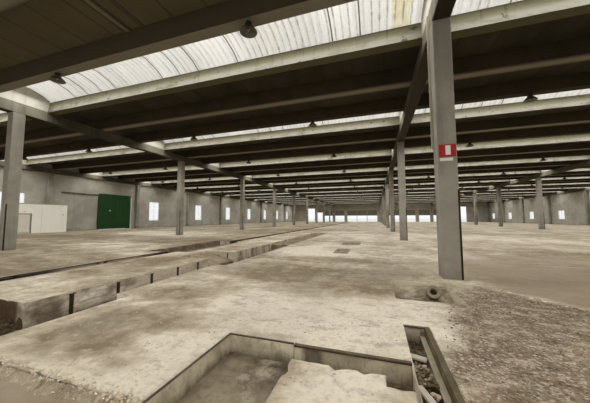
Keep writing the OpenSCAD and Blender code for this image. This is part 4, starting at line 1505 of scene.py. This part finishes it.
@dataclass
class LooseStones:
    """Gravel, crumbs and a line of pale stones on the floor in front of the viewer."""

    hall: Hall
    material: bpy.types.Material
    pale: bpy.types.Material
    crumb: bpy.types.Material
    seed: int = 7
    gravel_count: int = 3600
    crumb_count: int = 320
    batch: int = 40
    bank_x: Flat = (-0.664, -0.378)
    bank_y: float = 0.180

    def scatter(self, spots: Sequence[tuple[float, float, float]], rng: random.Random, flat: float = 0.6,
                long: float = 1.0) -> Form:
        """Puts stones on the floor, a batch at a time.

        Args:
            spots: X, distance from the viewer, and radius of each stone.
            rng: Where the shapes come from.
            flat: Height as a share of the width.
            long: Length as a share of the width.

        Returns:
            The mesh in the making.
        """
        form = Form()
        for first in range(0, len(spots), self.batch):
            part = Form()
            for x, ahead, radius in spots[first:first + self.batch]:
                sunk = 0.36 * max(0.0, self.bank_y - ahead) if self.bank_x[0] < x < self.bank_x[1] else 0.0
                place = (x, self.hall.viewer_y + ahead, self.hall.floor_z - min(sunk, 0.012) + radius * flat * 0.35)
                part.stone(place, radius, rng, flat, long)
            form.absorb(part)
        return form

    def in_gravel(self, x: float, ahead: float) -> bool:
        """Tells whether a place lies in the gravelly field."""
        left = -0.188 + 0.22 * ahead
        return x > max(left, -0.108) and ahead + x < 0.74 and ahead - 1.3 * x < 0.66

    def on_slab(self, x: float, ahead: float) -> bool:
        """Tells whether a place near the viewer is solid floor and neither pit nor trench."""
        holes = (
            (-0.382, -0.110, -0.22, 0.330), (-0.156, -0.110, 0.30, 0.434), (-0.67, -0.375, 0.0, 0.186),
            (-0.156, -0.024, 0.548, 0.722), (-0.97, -0.66, -0.5, 2.8), (-1.225, -1.0, -2.0, 6.0),
            (-0.378, -0.300, 1.16, 1.37), (-0.39, -0.272, 1.54, 1.75),
        )
        return not any(a < x < b and c < ahead < d for a, b, c, d in holes)

    def make(self) -> None:
        """Builds the gravel, the crumbs and the pale stones."""
        rng = random.Random(self.seed)
        gravel = []
        while len(gravel) < self.gravel_count:
            x, ahead = rng.uniform(-0.11, 0.62), rng.uniform(-0.12, 0.74)
            if self.in_gravel(x, ahead) and self.on_slab(x, ahead):
                gravel.append((x, ahead, rng.choice((0.0008, 0.0011, 0.0014, 0.0019)) * rng.uniform(0.8, 1.3)))
        self.scatter(gravel, rng).piece("gravel", self.material, HALL_BODY, "floor_concrete")
        crumbs = []
        while len(crumbs) < self.crumb_count:
            ahead = 0.15 + 2.6 * rng.random() ** 2.2
            x = rng.uniform(-0.62, 0.1) if ahead < 0.8 else rng.uniform(-1.9, 1.3)
            if self.on_slab(x, ahead):
                crumbs.append((x, ahead, (0.0004 + 0.0006 * rng.random()) * (1 + ahead * 0.8)))
        for x, ahead, spread in ((-0.375, 0.31, 0.03), (-0.25, 0.345, 0.03), (-0.16, 0.37, 0.035), (-0.09, 0.42, 0.03)):
            for _ in range(24):
                spot = (x + rng.gauss(0, spread * 1.6), ahead + abs(rng.gauss(0, spread)), rng.uniform(0.0006, 0.0015))
                if self.on_slab(spot[0], spot[1]):
                    crumbs.append(spot)
        bank = []
        for _ in range(420):
            spread = rng.gauss(0, 0.003) if rng.random() < 0.8 else -abs(rng.gauss(0, 0.008))
            bank.append((rng.uniform(-0.62, -0.38), 0.181 + spread, rng.choice((0.0006, 0.0008, 0.0011, 0.0015)) * rng.uniform(0.7, 1.2)))
        self.scatter(crumbs, rng).piece("floor_crumbs", self.crumb, HALL_BODY, "floor_concrete")
        self.scatter(bank, rng).piece("bank_crumbs", self.pale, HALL_BODY, "floor_concrete")
        pale = []
        path = ((0.046, 0.717), (0.114, 0.613), (0.163, 0.565), (0.30, 0.44))
        for (ax, ay), (bx, by) in zip(path, path[1:]):
            steps = max(2, round(math.hypot(bx - ax, by - ay) / 0.017))
            for step in range(steps):
                share = (step + rng.uniform(0.2, 0.8)) / steps
                pale.append((ax + (bx - ax) * share, ay + (by - ay) * share, rng.uniform(0.0032, 0.0055)))
        self.scatter(pale, rng, 0.3, 1.6).piece("pale_stones", self.pale, HALL_BODY, "floor_concrete")
        slot = Form()
        for _ in range(34):
            down = rng.uniform(0.0130, 0.0165)
            place = (rng.uniform(-0.1465, -0.1295), self.hall.viewer_y + rng.uniform(0.304, 0.35), self.hall.floor_z - down)
            slot.stone(place, rng.choice((0.0010, 0.0014, 0.0020, 0.0028)) * rng.uniform(0.8, 1.2), rng, 0.7)
        slot.stone((-0.1325, self.hall.viewer_y + 0.292, self.hall.floor_z - 0.0150), 0.0052, rng, 0.45)
        slot.piece("slot_stones", self.material, HALL_BODY, "floor_concrete")


@dataclass
class PitSteel:
    """Steel plates and channels along the pit, the slot and the long trench."""

    hall: Hall
    plate: bpy.types.Material
    olive: bpy.types.Material
    rust: bpy.types.Material
    white: bpy.types.Material
    dusty: bpy.types.Material
    plate_t: float = 0.0022
    pit_x: Flat = (-0.377, -0.150)
    pit_back: float = 0.322
    joint_x: float = -0.284
    pit_depth: float = 0.030
    slots_at: tuple[float, ...] = (0.392, 0.4985, 0.602, 0.707, 0.809)
    channel_x: Flat = (-0.1272, -0.1212)
    flange_down: float = 0.0115

    def at(self, x: float, ahead: float, down: float) -> Point:
        """Gives a point by its X, its distance from the viewer and its depth under the floor."""
        return (x, self.hall.viewer_y + ahead, self.hall.floor_z - down)

    def make(self) -> None:
        """Builds the plates, the channels and the loose flat bar in the slot."""
        left, right = self.pit_x
        back, deep = self.pit_back, self.pit_depth
        plates = Form()
        plates.box(self.at(left, -0.198, deep), self.at(left + self.plate_t, back, 0.0012), 0.0004)
        plates.box(self.at(left + 0.001, back - self.plate_t, deep), self.at(self.joint_x - 0.001, back, 0.0010), 0.0004)
        plates.box(self.at(self.joint_x, back - self.plate_t * 1.5, deep - 0.004), self.at(right - 0.0004, back, 0.0022), 0.0004)
        plates.piece("pit_plates", self.plate, HALL_BODY, "steel_edge")
        rims = Form()
        rims.box(self.at(left - 0.0004, -0.198, 0.0016), self.at(left + 0.0024, back, 0.0002), 0.0004)
        rims.box(self.at(left, back - 0.0026, 0.0018), self.at(self.joint_x - 0.001, back + 0.0002, 0.0001), 0.0004)
        rims.box(self.at(self.joint_x, back - 0.0046, 0.0034), self.at(right, back + 0.0006, 0.0006), 0.0004)
        rims.box(self.at(-0.1492, 0.4205, 0.0020), self.at(-0.1205, 0.4258, 0.0002), 0.0004)
        for ahead in self.slots_at:
            rims.box(self.at(-0.8102, ahead - 0.0042, 0.050), self.at(-0.8088, ahead + 0.0042, 0.0045), 0.0003)
            rims.box(self.at(-0.8102, ahead - 0.0060, 0.0062), self.at(-0.8080, ahead + 0.0080, 0.0045), 0.0003)
        rims.box(self.at(-0.8465, 1.0632, 0.050), self.at(-0.8415, 1.0652, 0.0045), 0.0003)
        rims.piece("rusty_rims", self.rust, HALL_BODY, "rusty_steel")
        channel = Form()
        down = self.flange_down
        channel.box(self.at(self.channel_x[0], -0.198, 0.046), self.at(self.channel_x[1], 0.4215, down + 0.0010), 0.0008)
        channel.piece("slot_channel", self.olive, HALL_BODY, "steel_edge")
        flange = Form()
        flange.box(self.at(self.channel_x[0] - 0.0008, -0.198, down + 0.0014), self.at(self.channel_x[1] + 0.0001, 0.4215, down), 0.0004)
        flange.piece("slot_flange", self.dusty, HALL_BODY, "steel_edge")
        end = Form()
        end.box(self.at(-0.1492, 0.4225, 0.03), self.at(self.channel_x[0], 0.4249, 0.0015), 0.0003)
        end.piece("slot_end_plate", self.plate, HALL_BODY, "cabin_panel")
        bar = Form()
        bar.box(self.at(-0.1482, 0.3545, 0.0150), self.at(-0.1290, 0.3635, 0.0120), 0.0006,
                Matrix.Rotation(math.radians(-18), 4, "Z"))
        bar.box(self.at(-0.1432, 0.262, 0.0140), self.at(-0.1362, 0.300, 0.0110), 0.0006,
                Matrix.Rotation(math.radians(21), 4, "Z"))
        bar.piece("loose_flat_bar", self.white, HALL_BODY, "cabin_panel")


@dataclass
class PipeMouth:
    """The broken pipe's thick end, tilted towards the viewer, with a dark plug in its bore as painted shade."""

    hall: Hall
    material: bpy.types.Material
    dark: bpy.types.Material
    place: Flat = (-0.068, 0.640)
    down: float = 0.0030
    outer: float = 0.0147
    bore: float = 0.0066
    long: float = 0.022
    tilt: float = 55.0
    sides: int = 24

    def make(self) -> None:
        """Builds the pipe end and the dark plug deep in its bore, which stands for the bore's shade."""
        o, b, t = self.outer, self.bore, self.long
        x, ahead = self.place
        turn = Matrix.Rotation(math.radians(self.tilt), 4, "X")
        lay = Matrix.Translation((x, self.hall.viewer_y + ahead, self.hall.floor_z - self.down)) @ turn
        form = Form()
        form.turned([(b, -t), (o * 0.93, -t), (o * 0.93, -0.006), (o, -0.0045), (o, -0.0015), (o * 0.95, 0),
                     (b * 1.2, -0.0004), (b, -0.0022), (b, -t)], self.sides)
        bmesh.ops.transform(form.bm, matrix=lay, verts=form.bm.verts)
        piece = form.piece("broken_pipe_end", self.material, HALL_BODY, "rusty_steel", 40)
        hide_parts("pipe_stub")
        # Painted shade: a near-black plug stands for the shade deep in the bore.
        plug = Form()
        plug.rod((0, 0, -0.010), (0, 0, -0.006), b * 0.99, self.sides)
        bmesh.ops.transform(plug.bm, matrix=lay, verts=plug.bm.verts)
        plug.piece("pipe_bore", self.dark, HALL_BODY, "rusty_steel")


@dataclass
class SideWindows:
    """Steel window frames with bars, on the inner side of the dusty panes."""

    material: bpy.types.Material
    border: float = 0.0042
    bar: float = 0.0017
    depth: float = 0.004

    def frame_bars(self, form: Form, low: Vector, high: Vector, inner_x: float, outer_x: float) -> None:
        """Adds the frame and bars of one window.

        Args:
            form: The mesh in the making.
            low: The pane's lowest corner.
            high: The pane's highest corner.
            inner_x: Where the frame ends towards the hall.
            outer_x: Where it ends towards the outside.
        """
        x = sorted((inner_x, outer_x))
        b = self.border
        form.box((x[0], low.y, low.z), (x[1], low.y + b, high.z), 0.0006)
        form.box((x[0], high.y - b, low.z), (x[1], high.y, high.z), 0.0006)
        form.box((x[0], low.y + b, low.z), (x[1], high.y - b, low.z + b), 0.0006)
        form.box((x[0], low.y + b, high.z - b), (x[1], high.y - b, high.z), 0.0006)
        middle = (low.y + high.y) / 2
        form.box((x[0], middle - self.bar / 2, low.z + b), (x[1], middle + self.bar / 2, high.z - b))
        rows = 3 if high.z - low.z > 0.25 else 2
        for row in range(1, rows):
            z = low.z + (high.z - low.z) * row / rows
            form.box((x[0], low.y + b, z - self.bar / 2), (x[1], high.y - b, z + self.bar / 2))

    def make(self) -> None:
        """Builds the frames of both side walls."""
        for side, sign in (("left", 1), ("right", -1)):
            form = Form()
            for low, high in solids(f"window_glass_{side}"):
                inner = (high.x if sign > 0 else low.x) + sign * self.depth
                outer = (low.x if sign > 0 else high.x) - sign * 0.001
                self.frame_bars(form, low, high, inner, outer)
            form.piece(f"window_frames_{side}", self.material, HALL_BODY, "window_glass")


@dataclass
class RollerShutters:
    """Slatted roller shutters, each with a bottom bar, in place of the plain CAD sheets."""

    material: bpy.types.Material
    slat: float = 0.0095
    slat_gap: float = 0.0009
    bar_h: float = 0.009

    def make(self) -> None:
        """Builds the shutters of both end walls."""
        for end in ("front", "back"):
            node = f"roller_shutters_{end}"
            form = Form()
            for low, high in solids(node):
                z = low.z + self.bar_h
                form.box((low.x, low.y - 0.0008, low.z), (high.x, high.y + 0.0008, z), 0.0008)
                while z < high.z - 0.003:
                    top = min(z + self.slat, high.z)
                    form.box((low.x, low.y + 0.0004, z + self.slat_gap), (high.x, high.y - 0.0004, top), 0.0012)
                    z += self.slat
                form.box((low.x, low.y + 0.0015, low.z + 0.002), (high.x, high.y - 0.0015, high.z))
            piece = form.piece(f"slatted_shutters_{end}", self.material, HALL_BODY, "shutter_metal")
            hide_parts(node)


@dataclass
class CabinTrim:
    """Door frame, panel seams, a band along the top and vent of the small cabin."""

    hall: Hall
    seam: bpy.types.Material
    frame_paint: bpy.types.Material
    door_y: Flat = (-3.353, -3.241)
    door_top: float = 0.286
    vent: Flat = (-2.945, 0.281)

    def make(self) -> None:
        """Builds the trim on the cabin's side towards the aisle."""
        low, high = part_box("cabin")
        face, foot = high.x, self.hall.floor_z
        bars = Form()
        for y in self.door_y:
            bars.box((face, y - 0.0034, foot), (face + 0.0018, y + 0.0034, self.door_top + 0.0034), 0.0004)
        bars.box((face, self.door_y[0], self.door_top - 0.0034), (face + 0.0018, self.door_y[1], self.door_top + 0.0034), 0.0004)
        bars.piece("cabin_door_frame", self.frame_paint, HALL_BODY, "cabin_panel")
        seams = Form()
        for y in (-3.15,):
            seams.box((face, y - 0.0006, foot), (face + 0.0004, y + 0.0006, high.z - 0.004))
        seams.box((face, low.y + 0.001, high.z - 0.008), (face + 0.0010, high.y - 0.001, high.z - 0.0005), 0.0003)
        seams.box((face, self.vent[0] - 0.007, self.vent[1] - 0.005), (face + 0.0012, self.vent[0] + 0.007, self.vent[1] + 0.005), 0.0004)
        seams.box((face, self.door_y[0] + 0.045, high.z - 0.09), (face + 0.0008, self.door_y[0] + 0.058, high.z - 0.083), 0.0003)
        seams.piece("cabin_seams", self.seam, HALL_BODY, "cabin_panel")


@dataclass
class SlidingDoorTrim:
    """Boards, frame, round spot and grip of the green sliding door, and the jamb beside it."""

    hall: Hall
    green: bpy.types.Material
    pale: bpy.types.Material
    steel: bpy.types.Material
    board: float = 0.0617
    spot: Flat = (-2.252, 0.350)

    def make(self) -> None:
        """Builds the door's trim, which slides with it, and the fixed jamb."""
        leaves = [pair for pair in solids("sliding_door") if pair[1].z - pair[0].z > 0.3]
        low, high = leaves[0]
        face = high.x
        boards = Form()
        count = round((high.y - low.y) / self.board)
        for n in range(count):
            start = low.y + (high.y - low.y) * n / count
            end = low.y + (high.y - low.y) * (n + 1) / count
            boards.box((face, start + 0.0003, low.z + 0.010), (face + 0.0007, end - 0.0003, high.z - 0.010), 0.0002)
        for z in (low.z, high.z - 0.0095):
            boards.box((face, low.y, z), (face + 0.0014, high.y, z + 0.0095), 0.0004)
        boards.piece("door_boards", self.green, LEAF_BODY, "green_paint")
        marks = Form()
        y, z = self.spot
        marks.rod((face + 0.0006, y, z), (face + 0.0020, y, z), 0.0105, 16)
        marks.piece("door_spot", self.pale, LEAF_BODY, "cabin_door_panel")
        grip = Form()
        grip.box((face, high.y - 0.030, 0.255), (face + 0.0034, high.y - 0.026, 0.290), 0.0008)
        grip.piece("door_grip", self.steel, LEAF_BODY, "rail_steel")
        jamb = Form()
        wall_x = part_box("wall_left")[1].x
        jamb.box((wall_x, -1.901, self.hall.floor_z), (wall_x + 0.003, -1.889, 0.56), 0.0006)
        jamb.piece("door_jamb", self.pale, HALL_BODY, "cabin_door_panel")


@dataclass
class ColumnFittings:
    """The bare plate's rim and pale field, the strip under it and the clips of the flat conduit on the same column."""

    hall: Hall
    red: bpy.types.Material
    white: bpy.types.Material
    duct: bpy.types.Material

    def make(self) -> None:
        """Builds the fittings of the nearest column of the middle line."""
        low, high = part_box("column_plate")
        face = low.y
        rim = Form()
        t = 0.0011
        for a, b in (((low.x, low.z), (high.x, low.z + t)), ((low.x, high.z - t), (high.x, high.z)),
                     ((low.x, low.z + t), (low.x + t, high.z - t)), ((high.x - t, low.z + t), (high.x, high.z - t))):
            rim.box((a[0], face - 0.0004, a[1]), (b[0], face, b[1]))
        rim.piece("plate_rim", self.red, HALL_BODY, "plate_enamel")
        field = Form()
        field.box((-0.0045, face - 0.0006, low.z + 0.005), (0.0075, face, high.z - 0.003), 0.0001)
        field.box((-0.018, face - 0.0002, low.z - 0.011), (0.012, face + 0.0004, low.z - 0.003), 0.0001)
        field.piece("plate_field", self.white, HALL_BODY, "cabin_door_panel")
        strip = Form()
        duct_low, duct_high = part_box("cable_duct")
        for z in (0.47, 0.60, 0.73):
            strip.box((duct_low.x - 0.0008, duct_low.y - 0.0008, z), (duct_high.x, duct_high.y + 0.0008, z + 0.004), 0.0003)
        strip.piece("duct_clips", self.duct, HALL_BODY, "duct_plastic")


@dataclass
class CeilingStrips:
    """A flat duct between dark strips that stand for the shadow gaps at its sides (painted shade), and a dark joint
    beside it, under one roof element.
    """

    hall: Hall
    dark: bpy.types.Material
    pale: bpy.types.Material
    duct_x: Flat = (-0.9934, -0.9757)
    gaps_x: tuple[Flat, ...] = ((-1.0018, -0.9953), (-0.9755, -0.9650), (-0.9124, -0.9064))

    def strip(self, span: Flat, thick: float) -> Form:
        """Makes one flat strip that runs along Y under the soffit.

        Args:
            span: Its two edges along X.
            thick: Its thickness.

        Returns:
            The mesh in the making.
        """
        soffit = self.hall.lip_z + 0.056
        start = self.hall.element_starts[2]
        form = Form()
        form.box((span[0], start + 0.052, soffit - thick), (span[1], start + self.hall.element_width - 0.048, soffit), 0.0003)
        return form

    def make(self) -> None:
        """Builds the duct and the dark strips."""
        shade = Form()
        # The strips beside the duct are painted shade; the third one is a dark joint.
        for span in self.gaps_x:
            shade.absorb(self.strip(span, 0.0010))
        shade.piece("soffit_joints_and_shadow_gaps", self.dark, HALL_BODY, "roof_concrete")
        self.strip(self.duct_x, 0.0022).piece("soffit_duct", self.pale, HALL_BODY, "duct_plastic")


@dataclass
class SlimGuards:
    """Thin steel angles on the columns' corners, in place of the plain CAD ones."""

    material: bpy.types.Material
    leg: float = 0.0032
    thick: float = 0.0012

    def make(self) -> None:
        """Builds one angle for each column that has a guard."""
        form = Form()
        for low, high in self.corners():
            form.box((high.x - 0.002 - self.leg, low.y + 0.002 - self.thick, low.z), (high.x - 0.002 + self.thick, low.y + 0.002, high.z), 0.0003)
            form.box((high.x - 0.002, low.y + 0.002, low.z), (high.x - 0.002 + self.thick, low.y + 0.002 + self.leg, high.z), 0.0003)
        piece = form.piece("corner_guards", self.material, HALL_BODY, "guard_steel")
        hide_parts("column_guards")

    def corners(self) -> list[tuple[Vector, Vector]]:
        """Gives one box around each CAD guard, whose two legs may be separate solids."""
        groups: dict[tuple[int, int], list[tuple[Vector, Vector]]] = {}
        for low, high in solids("column_guards"):
            groups.setdefault((round(low.x / 0.5), round(low.y / 0.5)), []).append((low, high))
        boxes = []
        for parts in groups.values():
            low = Vector([min(a[axis] for a, b in parts) for axis in range(3)])
            high = Vector([max(b[axis] for a, b in parts) for axis in range(3)])
            boxes.append((low, high))
        return boxes


# Camera, light and stage


@dataclass(frozen=True)
class Viewpoint:
    """The photograph's camera, as fitted to the hall's lines."""

    place: Point = (-0.1836, -4.991, 0.2365)
    left_turn: float = 18.395
    up_tilt: float = 4.118
    roll: float = -0.111
    focal_px: float = 257.69
    image_width: int = 590
    sensor: float = 36.0
    shift_x: float = 0.00905
    shift_y: float = -0.00325

    def make(self) -> None:
        """Creates the camera and makes it the scene's."""
        data = bpy.data.cameras.new("viewpoint")
        data.sensor_width = self.sensor
        data.lens = self.focal_px / self.image_width * self.sensor
        data.shift_x = self.shift_x
        data.shift_y = self.shift_y
        data.clip_start = 0.02
        data.clip_end = 100.0
        camera = bpy.data.objects.new("viewpoint", data)
        turn = Matrix.Rotation(math.radians(self.left_turn), 4, "Z")
        tilt = Matrix.Rotation(math.radians(90 + self.up_tilt), 4, "X")
        roll = Matrix.Rotation(math.radians(self.roll), 4, "Z")
        camera.matrix_world = Matrix.Translation(self.place) @ turn @ tilt @ roll
        bpy.context.scene.collection.objects.link(camera)
        bpy.context.scene.camera = camera


@dataclass
class Studio:
    """Pale ground, soft sky, one soft sun, and daylight through the skylights and the end doorways."""

    hall: Hall
    sky_strength: float = 0.8
    sun_strength: float = 1.3
    gap_radiance: float = 5.6
    end_radiance: float = 2.2

    def ground(self) -> None:
        """Lays the pale floor around the model."""
        form = Form()
        bmesh.ops.create_grid(form.bm, x_segments=1, y_segments=1, size=400.0)
        mesh = bpy.data.meshes.new("ground")
        form.bm.to_mesh(mesh)
        form.bm.free()
        book = NodeBook.material("pale_ground")
        cloud = book.cloud(book.place(), 0.7, 3.0)
        tint = book.blend(cloud, colour("dddcd8"), colour("e3e2de"))
        mesh.materials.append(book.finish(book.coat(tint, 0.9)))
        ground = bpy.data.objects.new("ground", mesh)
        bpy.context.scene.collection.objects.link(ground)
        ground.location.z = -0.0005

    def sky(self) -> None:
        """Sets the world: white to the eye, softer as a light."""
        world = bpy.data.worlds.new("sky")
        bpy.context.scene.world = world
        book = NodeBook(world)
        path = book.node("ShaderNodeLightPath")
        seen = Signal(book, path.outputs["Is Camera Ray"])
        for name in ("Is Glossy Ray", "Is Transmission Ray"):
            seen = seen.math("MAXIMUM", Signal(book, path.outputs[name]))
        light = book.node("ShaderNodeBackground", None, {"Color": (0.95, 0.97, 1.0), "Strength": self.sky_strength})
        white = book.node("ShaderNodeBackground", None, {"Color": (0.97, 0.98, 1.0), "Strength": 1.0})
        mix = book.node("ShaderNodeMixShader", None, {0: seen, 1: light.outputs[0], 2: white.outputs[0]})
        book.node("ShaderNodeOutputWorld", None, {"Surface": mix.outputs[0]})

    def sun(self) -> None:
        """Adds the soft sun."""
        data = bpy.data.lights.new("soft_sun", "SUN")
        data.energy = self.sun_strength
        data.angle = math.radians(25)
        sun = bpy.data.objects.new("soft_sun", data)
        sun.rotation_euler = (math.radians(38), math.radians(-14), math.radians(24))
        bpy.context.scene.collection.objects.link(sun)

    def panel(self, name: str, place: Point, turn: Point, size: Flat, radiance: float) -> None:
        """Hangs one soft panel of daylight that the camera doesn't see.

        Args:
            name: The lamp's name.
            place: Its middle.
            turn: Its turn in radians; unturned it shines down.
            size: Its width and height.
            radiance: How bright it is.
        """
        data = bpy.data.lights.new(name, "AREA")
        data.shape = "RECTANGLE"
        data.size, data.size_y = size
        data.energy = radiance * math.pi * size[0] * size[1]
        data.color = (0.985, 0.99, 1.0)
        lamp = bpy.data.objects.new(name, data)
        lamp.location = place
        lamp.rotation_euler = turn
        lamp.visible_camera = False
        lamp.visible_glossy = False
        bpy.context.scene.collection.objects.link(lamp)

    def make(self) -> None:
        """Builds ground, sky, sun and daylight."""
        self.ground()
        self.sky()
        self.sun()
        for left, right in zip(self.hall.line_x, self.hall.line_x[1:]):
            for start, end in self.hall.gaps():
                place = ((left + right) / 2, (start + end) / 2, self.hall.kerb_top - 0.001)
                self.panel("daylight", place, (0, 0, 0), (right - left - 0.1, end - start - 0.05), self.gap_radiance)
        height = 0.5
        for sign in (-1, 1):
            place = (-0.9, sign * (self.hall.length / 2 - 0.05), self.hall.floor_z + 0.02 + height / 2)
            turn = (math.radians(90 * -sign), 0, 0)
            self.panel("end_daylight", place, turn, (5.6, height), self.end_radiance)


def settle_view() -> None:
    """Keeps plain colours in the render."""
    bpy.context.scene.view_settings.view_transform = "Standard"


def main() -> None:
    """Builds the looks in order."""
    logging.basicConfig(level=logging.INFO)
    hall = Hall.from_frame()
    LOG.info("hall %s", hall)
    settle_view()
    Viewpoint().make()
    Studio(hall).make()

    floor = FloorDust(hall.floor_z, hall.viewer_y).make()
    raft = Concrete("raft_concrete", colour("9a9486"), colour("77715f"), colour("4e4839")).make()
    column = Concrete(
        "column_concrete", colour("a29d90"), colour("858073"), colour("565146"), 0.4, foot=0.06, head_z=0.80, head=0.22,
    ).make()
    # The girder colours are kept darker than the columns' as painted shade, and their undersides and the stretches
    # under the roof elements are darker still, as painted shade.
    girder = Concrete(
        "girder_concrete", colour("7b7668"), colour("5c5749"), colour("2b261b"), 0.45, under=colour("2f2a1e"),
        shade_start=hall.element_starts[0], shade_pitch=hall.element_starts[1] - hall.element_starts[0],
        shade_width=hall.element_width,
    ).make()
    panel = Concrete("panel_concrete", colour("b0aca0"), colour("9c978a"), colour("4a4436"), 0.25, seam_z=0.832).make()
    roof = RoofConcrete(
        hall.element_starts[0], hall.element_starts[1] - hall.element_starts[0], hall.element_width,
        hall.lip_z, hall.lip_z + 0.033,
    ).make()
    wall = Concrete(
        "wall_concrete", colour("b0aca0"), colour("9c978a"), colour("787264"), 0.16, foot=0.04, top=colour("8f8a7e"),
        panel_start=hall.rows_y[0], panel_pitch=hall.rows_y[1] - hall.rows_y[0],
    ).make()
    pane = Pane().make()
    green = Paint("green_paint", colour("0d3d14"), colour("0a2f10"), dust_share=0.04).make()
    rail = Paint("rail_steel", colour("4a4638"), colour("5a4630")).make()
    cabin = Paint("cabin_panel", colour("faf6ea"), colour("e4dfd0"), dust_share=0.10).make()
    cabin_door = Paint("cabin_door_panel", colour("e6e0d0"), colour("c6bfac"), dust_share=0.2).make()
    shutter = Paint("shutter_metal", colour("6d6f68"), colour("4f4b40"), dust_share=0.3).make()
    lamp = Paint("lamp_metal", colour("2b2620"), colour("1e1a15"), dust_share=0.06, under=colour("5f5b50")).make()
    bulb = Paint("bulb_glass", colour("8f8a7d"), colour("6d685c"), dust_share=0.2, rough=0.4).make()
    guard = Paint("guard_steel", colour("1f1b15"), colour("3a2a1e"), wear=0.5, dust_share=0.12, rough=0.9).make()
    # edge_steel: its dark band runs along the rail's outer side as painted shade, and it darkens towards its foot as
    # painted shade.
    edge = StainedPlate("edge_steel", colour("a0957e"), colour("7a6f57"), colour("473c28"), hall.floor_z, 0.02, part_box("slot_edge_rail")[1][0], 0.0035).make()
    plate_steel = StainedPlate("plate_steel", colour("cdc2a9"), colour("8f846b"), colour("43392b"), hall.floor_z).make()
    rust = Paint("rusty_steel", colour("8f856d"), colour("5d523f"), wear=0.6, dust_share=0.4, rough=0.8).make()
    duct = Paint("duct_plastic", colour("a59e8b"), colour("857e6c"), dust_share=0.2).make()
    pipe = Paint("pipe_end", colour("8b8069"), colour("5d5442"), wear=0.6, dust_share=0.3, rough=0.8).make()
    soffit_strip = Paint("soffit_strip", colour("665d49"), colour("4f4736"), dust_share=0.05).make()
    # Near-black paint for the soffit joint and the shadow gaps beside the duct, and for the pipe bore's plug; the last
    # two are painted shade.
    joint_and_shade_dark = Paint("joint_shadow", colour("221c12"), colour("181309"), dust_share=0.02).make()
    red = Paint("plate_enamel", colour("a81f27"), colour("7c181c"), dust_share=0.08, wear=0.2).make()
    white = Paint("faded_white", colour("e9e4d8"), colour("c9c2b2"), dust_share=0.2, wear=0.3).make()
    frame_grey = Paint("window_steel", colour("eef0ee"), colour("c5c6be"), dust_share=0.1).make()
    seam = Paint("seam_shadow", colour("a39e90"), colour("8c8779"), dust_share=0.1).make()
    dark_frame = Paint("door_frame_paint", colour("3f3a2f"), colour("29251d"), dust_share=0.08).make()
    dark_rust = Paint("dark_rust", colour("403424"), colour("261c10"), wear=0.8, dust_share=0.14, rough=0.95).make()
    pale_bar = Paint("pale_bar", colour("cfc8b8"), colour("a59d8b"), dust_share=0.3).make()
    rubble = Rubble("trench_rubble", colour("8c7a63"), colour("5f4e3a"), colour("32271c"), 75.0, 0.4, 0.002).make()
    sand = Rubble("pale_sand", colour("b0a189"), colour("93836b"), colour("665846"), 30.0, 0.12).make()
    stone = Rubble("gravel_stones", colour("d0c1a8"), colour("9a8770"), colour("6a5846"), 30.0, 0.5, 0.0002).make()
    crumble = Rubble("crumbled_concrete", colour("d0c4ac"), colour("ab9d86"), colour("7d6e58"), 150.0, 0.10, 0.0010).make()
    crumb_stone = Rubble("crumb_stones", colour("d6cab2"), colour("b3a58c"), colour("857560"), 30.0, 0.4, 0.0002).make()
    hollow_dust = Rubble("hollow_dust", colour("aca18c"), colour("9d8f7a"), colour("82735f"), 22.0, 0.04, 0.0006).make()
    pit_dirt = Rubble("pit_dirt", colour("c0b49c"), colour("958870"), colour("34291c"), 26.0, 0.06).make()
    # The slot's rubble is painted darker than the trench rubble, as painted shade in the narrow slot.
    slot_dirt_and_shade = Rubble("slot_dirt_and_shade", colour("8a7b62"), colour("4a3e2a"), colour("211a0f"), 75.0, 0.4, 0.002).make()
    pale_stone = Rubble("pale_stones", colour("e8ddc6"), colour("cbbda2"), colour("a39275"), 30.0, 0.4, 0.0002).make()

    for node in ("floor_left", "floor_near", "floor_far", "floor_pits"):
        dress(node, floor)
    dress("foundation_raft", raft)
    for line in Line:
        dress(f"columns_{line.value}", column)
        dress(f"girders_{line.value}", girder)
    for aisle in Aisle:
        dress(f"roof_{aisle.value}_aisle", roof)
    for node in ("wall_left", "wall_right", "wall_front", "wall_back"):
        dress(node, wall)
    for node in ("skylight_end_panels", "wall_end_panels"):
        dress(node, panel)
    for side in ("left", "right"):
        dress(f"window_glass_{side}", pane)
    for end in ("front", "back"):
        dress(f"roller_shutters_{end}", shutter)
    for node, material in (
        ("sliding_door", green), ("sliding_door_rail", rail), ("cabin", cabin), ("cabin_door", cabin_door),
        ("lamps", lamp), ("column_guards", guard), ("slot_edge_rail", edge), ("pipe_stub", rust),
        ("cable_duct", duct), ("column_plate", red),
    ):
        dress(node, material)

    SkylightSheets(hall).make()
    HangingLamps(lamp, bulb).make()
    EasedFrame(column, girder).make()
    WornSlab(hall, "floor_pits", floor, open_low_x=True).make()
    WornSlab(hall, "floor_left", floor, open_high_x=True).make()
    LooseFill(hall, rubble, sand, crumble, floor, hollow_dust, pit_dirt, slot_dirt_and_shade).make()
    LooseStones(hall, stone, pale_stone, crumb_stone).make()
    PitSteel(hall, plate_steel, edge, dark_rust, pale_bar, rust).make()
    PipeMouth(hall, pipe, joint_and_shade_dark).make()
    SideWindows(frame_grey).make()
    RollerShutters(shutter).make()
    CabinTrim(hall, seam, dark_frame).make()
    SlidingDoorTrim(hall, green, white, rail).make()
    ColumnFittings(hall, red, white, duct).make()
    CeilingStrips(hall, joint_and_shade_dark, soffit_strip).make()
    SlimGuards(guard).make()


if __name__ == "__main__":
    main()
